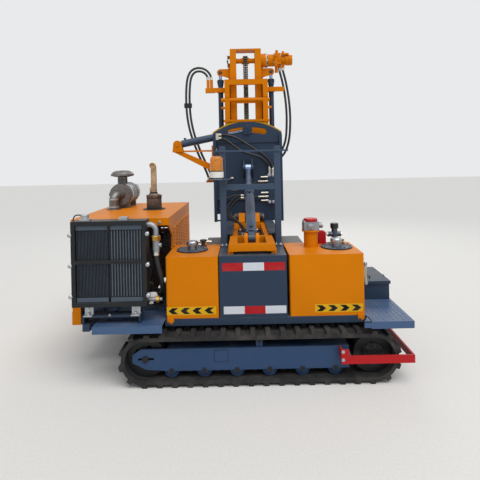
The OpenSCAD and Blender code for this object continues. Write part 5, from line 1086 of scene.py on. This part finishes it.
class RIG_OT_chain(bpy.types.Operator):
    """Makes the duplex roller chain round both sprockets"""
    bl_idname = "rig.chain"
    bl_label = "Mast chain"

    def execute(self, context):
        run = CHAIN_HEAD - CHAIN_FOOT
        total = 2 * run + 2 * math.pi * CHAIN_RADIUS
        place = [self.on_chain((k + 0.5) * total / CHAIN_LINKS, run) for k in range(CHAIN_LINKS)]
        pins, plates = [], []
        for k, (y, z) in enumerate(place):
            pins.append(rod((MAST_X - PIN_REACH, y, z), (MAST_X + PIN_REACH, y, z), PIN_WIDTH, 10, 0.5))
            for x in ROLLERS:
                low, high = MAST_X + x - ROLLER_REACH, MAST_X + x + ROLLER_REACH
                pins.append(rod((low, y, z), (high, y, z), ROLLER_WIDTH, 12, 0.4))
            after = place[(k + 1) % CHAIN_LINKS]
            for x in OUTER_PLATES if k % 2 else INNER_PLATES:
                plates.append(self.plate(MAST_X + x, (y, z), after))
        chain = put("RollerChain", "chain_steel", "mast", *plates, *pins)
        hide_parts("mast_chain")
        return {"FINISHED"}

    def on_chain(self, s, run):
        """The place at the distance s along the chain: up behind, over the head sprocket, down in front and
        round the foot. On a sprocket it is the shaft's place + r (cos a, sin a)."""
        r, half = CHAIN_RADIUS, math.pi * CHAIN_RADIUS
        if s < run:
            return MAST_Y + r, CHAIN_FOOT + s
        if s < run + half:
            a = (s - run) / r
            return MAST_Y + r * math.cos(a), CHAIN_HEAD + r * math.sin(a)
        if s < 2 * run + half:
            return MAST_Y - r, CHAIN_HEAD - (s - run - half)
        a = math.pi + (s - 2 * run - half) / r
        return MAST_Y + r * math.cos(a), CHAIN_FOOT + r * math.sin(a)

    def plate(self, x, a, b):
        """A waisted link plate from pin a to pin b: five points round each pin and one at each waist."""
        a, b = np.array(a), np.array(b)
        way = unit(b - a)
        side = np.array((-way[1], way[0]))
        outline = []
        for centre, sign in ((a, -1), (b, 1)):
            for t in np.radians((-70, -35, 0, 35, 70)):
                outline.append(centre + 10 * sign * (math.cos(t) * way + math.sin(t) * side))
            outline.append((a + b) / 2 + sign * 7.5 * side)
        return extruded(outline, (x, 0, 0), Y_AXIS, Z_AXIS, 2.4)


class RIG_OT_mast(bpy.types.Operator):
    """Adds the drive motor's rings, valve block and fixings, the hub cover and the lift lugs' pins"""
    bl_idname = "rig.mast"
    bl_label = "Mast fittings"

    def execute(self, context):
        y, z = MAST_Y, HEAD_Z
        hub = [(64, 0), (64, 5), (58, 6), (56, 4), (44, 4), (42, 7), (26, 7), (24, 12), (12, 12), (11, 15),
               (0, 15.5)]
        put("HubCover", "black_paint", "mast", lathe(hub, (-44, y, z), LEFT, 64), smooth=True)
        rings = [collar(inner, outer, height, (x, y, z), X_AXIS, sides)
                 for inner, outer, height, x, sides in MOTOR_RINGS]
        put("MotorRings", "orange_paint", "mast", *rings, smooth=True)
        ports = [lathe([(13, 0), (13, 9), (10, 12)], (x, 430, h), FRONT, 6)
                 for x, h in ((464, 2672), (494, 2630))]
        put("MotorValveBlock", "orange_paint", "mast", block((446, 430, 2582), (512, 453, 2700), 4),
            block((520, 452, 2686), (600, 500, 2704), 4), rod((474, 476, 2696), (474, 476, 2738), 30, 24),
            rod((540, 474, 2690), (540, 474, 2726), 26, 24),
            rod((462, 432, 2560), (462, 432, 2600), 22, 20), *ports)
        flange = lathe([(75, 0), (75, 5), (74, 6)], (358, y, z), X_AXIS, 64)
        put("MotorFixings", "bolt_steel", "mast", flange,
            *(bolt(place, X_AXIS, 10, 4) for place in circle_of((636, y, z), 40, 6)),
            *(bolt((x, y - 58, h), FRONT, 13, 8) for x in (452, 464) for h in (2604, 2686)))
        pin = [(20, 0), (20, 5), (13, 6), (13, 12), (11, 14), (0, 14.5)]
        pins = [lathe(pin, (x, y + 13 * way, 2520), (0, way, 0), 32) for x in LIFT_X for way in (-1, 1)]
        put("LugPins", "chain_steel", "mast", *pins, smooth=True)
        return {"FINISHED"}


# The axis on which the guide swings, the slot its pin runs in, and the middle of the arch's rim
SWING_Z, SLOT_RADIUS, RIM_Z = 1083, 800, 1390
LIFT_FOOT, LIFT_TOP = 1334, 2404


class RIG_OT_guide(bpy.types.Operator):
    """Adds the mast guide's glands, pads, clamp and unions, and the arch's edge as a painted highlight, pin
    head and pivot cap
    """
    bl_idname = "rig.guide"
    bl_label = "Mast guide"

    def execute(self, context):
        glands = []
        nut = [(32.4, 0), (36, 2), (36, 34), (32.4, 38), (20, 40)]
        foot = [(27.4, 0), (30, 1), (30, 20), (27.4, 22)]
        for x in LIFT_X:
            glands += [lathe(nut, (x, MAST_Y, LIFT_TOP), Z_AXIS, 6),
                       lathe(foot, (x, MAST_Y, LIFT_FOOT), Z_AXIS, 40),
                       rod((x, 482, 1372), (x, 462, 1372), 20, 20)]
        put("LiftGlands", "black_paint", "swing", *glands, smooth=True)
        put("GuidePads", "orange_paint", "swing",
            *(block((x - 24, 368, z), (x + 24, 372.4, z + 88), 3)
              for x in (MAST_X - 199, MAST_X + 199) for z in (1242, 2236)))
        put("HoseClamp", "gasket_rubber", "swing", block((-520, 474, 2150), (-440, 510, 2196), 5))
        union = [(13, 0), (13, 16), (10.5, 19), (10.5, 30), (13, 33), (13, 46)]
        put("LoopUnions", "fitting_steel", "swing",
            *(lathe(union, (x, 492, 2394), Z_AXIS, 20) for x in (-226, -262)), smooth=True)
        # The guide's arched edge in yellow enamel, a painted highlight of the orange edge where it catches
        # the light
        put("ArchRimPaintedHighlight", "painted_highlight_edge", "swing", arc_band((MAST_X, RIM_Z), 588, 600.4, 37, 371.4, 384.6))
        head = [(50, 0), (50, 4), (46, 7), (44, 7), (43, 5), (25, 5), (24, 12), (12, 12), (11, 8), (0, 8)]
        put("SwingPinHead", "slate_paint", "swing",
            lathe(head, (MAST_X, 232, SWING_Z + SLOT_RADIUS), FRONT, 64), smooth=True)
        cap = [(38, 0), (38, 2), (30, 3), (29, 1), (0, 1)]
        put("PivotCap", "black_paint", "swing", lathe(cap, (MAST_X, 236, SWING_Z), FRONT, 64), smooth=True)
        return {"FINISHED"}


# The hammer

# Each cheek's outer face, and the way in which it looks along X
CHEEKS = ((MAST_X - 150, -1), (MAST_X + 150, 1))
WINDOW_Y = (719, 879)
WINDOWS_LOW = (1150, 1430, 1710)
WINDOW_TALL = 120
WINDOW_CORNER = 30


class RIG_OT_hammer(bpy.types.Operator):
    """Adds the cheek bolts, window rims, lifting eye and rings of the hammer, its cap and its carriage"""
    bl_idname = "rig.hammer"
    bl_label = "Hammer"

    def execute(self, context):
        nuts, rims = [], []
        for x, way in CHEEKS:
            nuts += [bolt((x, y, z), (way, 0, 0), 24, 14)
                     for z in range(1060, 1840, 130) for y in (645, 960)]
            rims += [self.rim(x + 2.5 * way, low) for low in WINDOWS_LOW]
        put("CheekBolts", "dark_steel", "hammer", *nuts)
        put("WindowRims", "orange_paint", "hammer", *rims, smooth=True)
        arc = [(MAST_X + 42 * math.cos(t), 780, 1936 + 62 * math.sin(t))
               for t in np.linspace(0.1, math.pi - 0.1, 16)]
        put("LiftingEye", "galvanised", "hammer", sweep(arc, 10, 16), smooth=True)
        put("CapRings", "dark_steel", "hammer",
            *(lathe([(115.2, 0), (117, 1.5), (117, 20), (115.2, 22)], (MAST_X, 799, z), Z_AXIS, 64)
              for z in (628, 738)), smooth=True)
        put("CarriageBolts", "bolt_steel", "hammer",
            *(bolt((MAST_X + x, 609, z), Y_AXIS, 19, 10)
              for x in (-174, 174) for z in (1180, 1320, 1500, 1680, 1820)))
        return {"FINISHED"}

    def rim(self, x, low):
        """A round bar of 8 mm bent round a cheek's window, its corners being quarter circles."""
        r = WINDOW_CORNER
        near, far = WINDOW_Y[0] + r, WINDOW_Y[1] - r
        foot, top = low + r, low + WINDOW_TALL - r
        path = []
        for turn, (y, z) in zip((0, 90, 180, 270), ((far, top), (near, top), (near, foot), (far, foot))):
            for t in np.radians(np.linspace(turn, turn + 90, 7)):
                path.append((x, y + (r + 4) * math.cos(t), z + (r + 4) * math.sin(t)))
        return sweep(path + path[:2], 4, 10)


# The studio

CAMERA_FROM = Vector((0.07, -3.985, 1.561))
CAMERA_ROLL = math.radians(-1.2)
CAMERA_LENS = 31.5
CAMERA_SHIFT_X = -0.0019
CAMERA_SHIFT_Y = -0.1625
FLOOR_HALF = 30.0
SUN_STRENGTH = 1.9
SUN_FROM = (0.2, -0.42, 0.85)
SUN_WIDTH = math.radians(50)
SKY_STRENGTH = 0.36
LAMPS = (
    # name, place, aim, diameter, watts
    ("KeyLamp", (-3.2, -4.6, 5.2), (0.0, 0.0, 0.8), 4.0, 40),
    ("FillLamp", (4.2, -3.6, 3.4), (0.0, 0.0, 0.9), 4.0, 25),
    ("BackLamp", (1.5, 5.0, 5.0), (0.0, 0.0, 1.2), 4.0, 70),
)


class RIG_OT_studio(bpy.types.Operator):
    """Makes the floor, the soft lights and the camera of the studio"""
    bl_idname = "rig.studio"
    bl_label = "Studio"

    def execute(self, context):
        scene = context.scene
        scene.view_settings.view_transform = "Standard"
        self.floor()
        self.lights(scene)
        self.camera(scene)
        return {"FINISHED"}

    def floor(self):
        """A level square in a pale matt screed, with faint specks that keep it from looking like paper."""
        a = FLOOR_HALF
        mesh = bpy.data.meshes.new("StudioFloor")
        mesh.from_pydata([(-a, -a, 0), (a, -a, 0), (a, a, 0), (-a, a, 0)], [], [(0, 1, 2, 3)])
        floor = bpy.data.objects.new("StudioFloor", mesh)
        bpy.context.scene.collection.objects.link(floor)
        material, tree, place = new_material("PaleFloor")
        speckle = add(tree, "TexNoise", {"Vector": place, "Scale": FLOOR_SPECKLE, "Detail": 3.0})
        tone = add(tree, "ValToRGB", {"Fac": speckle.outputs[0]},
                   stops=[(0.3, linear("#E2E0DB")), (0.7, linear("#E8E6E1"))])
        mesh.materials.append(finished(material, {"Base Color": tone.outputs[0], "Roughness": 0.9}))

    def lights(self, scene):
        """A soft sun, three wide lamps, and a world that is pale to see and mirror but dim as a light."""
        world = bpy.data.worlds.new("StudioWorld")
        world.use_nodes = True
        tree = world.node_tree
        tree.nodes.clear()
        rays = add(tree, "LightPath")
        seen = add(tree, "Math", {0: rays.outputs["Is Camera Ray"], 1: rays.outputs["Is Glossy Ray"]},
                   operation="MAXIMUM")
        clear = add(tree, "Math", {0: seen.outputs[0], 1: rays.outputs["Is Transmission Ray"]},
                    operation="MAXIMUM")
        soft = add(tree, "Background", {"Color": linear("#EEF3FC"), "Strength": SKY_STRENGTH})
        pale = add(tree, "Background", {"Color": linear("#E9EAEB"), "Strength": 1.0})
        mixed = add(tree, "MixShader", {0: clear.outputs[0], 1: soft.outputs[0], 2: pale.outputs[0]})
        add(tree, "OutputWorld", {"Surface": mixed.outputs[0]})
        scene.world = world
        sun = bpy.data.lights.new("SoftSun", "SUN")
        sun.energy = SUN_STRENGTH
        sun.angle = SUN_WIDTH
        sky = bpy.data.objects.new("SoftSun", sun)
        scene.collection.objects.link(sky)
        sky.rotation_euler = Vector(SUN_FROM).to_track_quat("Z", "Y").to_euler()
        for name, at, aim, size, power in LAMPS:
            lamp = bpy.data.lights.new(name, "AREA")
            lamp.shape = "DISK"
            lamp.size = size
            lamp.energy = power
            holder = bpy.data.objects.new(name, lamp)
            scene.collection.objects.link(holder)
            holder.location = at
            holder.rotation_euler = (Vector(aim) - Vector(at)).to_track_quat("-Z", "Y").to_euler()

    def camera(self, scene):
        """A level camera turned a little about its own axis and shifted, as the photo was taken."""
        data = bpy.data.cameras.new("StudioCamera")
        data.sensor_width = 36
        data.lens = CAMERA_LENS
        data.shift_x = CAMERA_SHIFT_X
        data.shift_y = CAMERA_SHIFT_Y
        camera = bpy.data.objects.new("StudioCamera", data)
        scene.collection.objects.link(camera)
        rolled = Matrix.Rotation(math.radians(90), 4, "X") @ Matrix.Rotation(CAMERA_ROLL, 4, "Z")
        camera.matrix_world = Matrix.Translation(CAMERA_FROM) @ rolled
        scene.camera = camera


# The panel and the run

class RIG_PT_panel(bpy.types.Panel):
    """Lists the rig's pieces in the sidebar"""
    bl_label = "Pile driver rig"
    bl_space_type = "VIEW_3D"
    bl_region_type = "UI"
    bl_category = "Rig"

    def draw(self, context):
        for operator in OPERATORS:
            self.layout.operator(operator.bl_idname)
        for group in (context.scene.rig_colours, context.scene.rig_sizes):
            for name in group.__annotations__:
                self.layout.prop(group, name)


OPERATORS = (
    RIG_OT_studio, RIG_OT_finishes, RIG_OT_hoses, RIG_OT_tapes, RIG_OT_bolts, RIG_OT_tracks, RIG_OT_radiator,
    RIG_OT_hood, RIG_OT_intake, RIG_OT_tanks, RIG_OT_beacon, RIG_OT_steps, RIG_OT_chain, RIG_OT_mast,
    RIG_OT_guide, RIG_OT_hammer,
)
CLASSES = (RigColours, RigSizes) + OPERATORS + (RIG_PT_panel,)


def register():
    """Makes the classes and the scene's two groups of properties known to Blender."""
    for made in CLASSES:
        bpy.utils.register_class(made)
    bpy.types.Scene.rig_colours = PointerProperty(type=RigColours)
    bpy.types.Scene.rig_sizes = PointerProperty(type=RigSizes)


def unregister():
    """Takes back what register gave."""
    del bpy.types.Scene.rig_sizes
    del bpy.types.Scene.rig_colours
    for made in reversed(CLASSES):
        bpy.utils.unregister_class(made)


def main():
    """Runs every operator in order."""
    register()
    for operator in OPERATORS:
        group, name = operator.bl_idname.split(".")
        getattr(getattr(bpy.ops, group), name)()


if __name__ == "__main__":
    main()
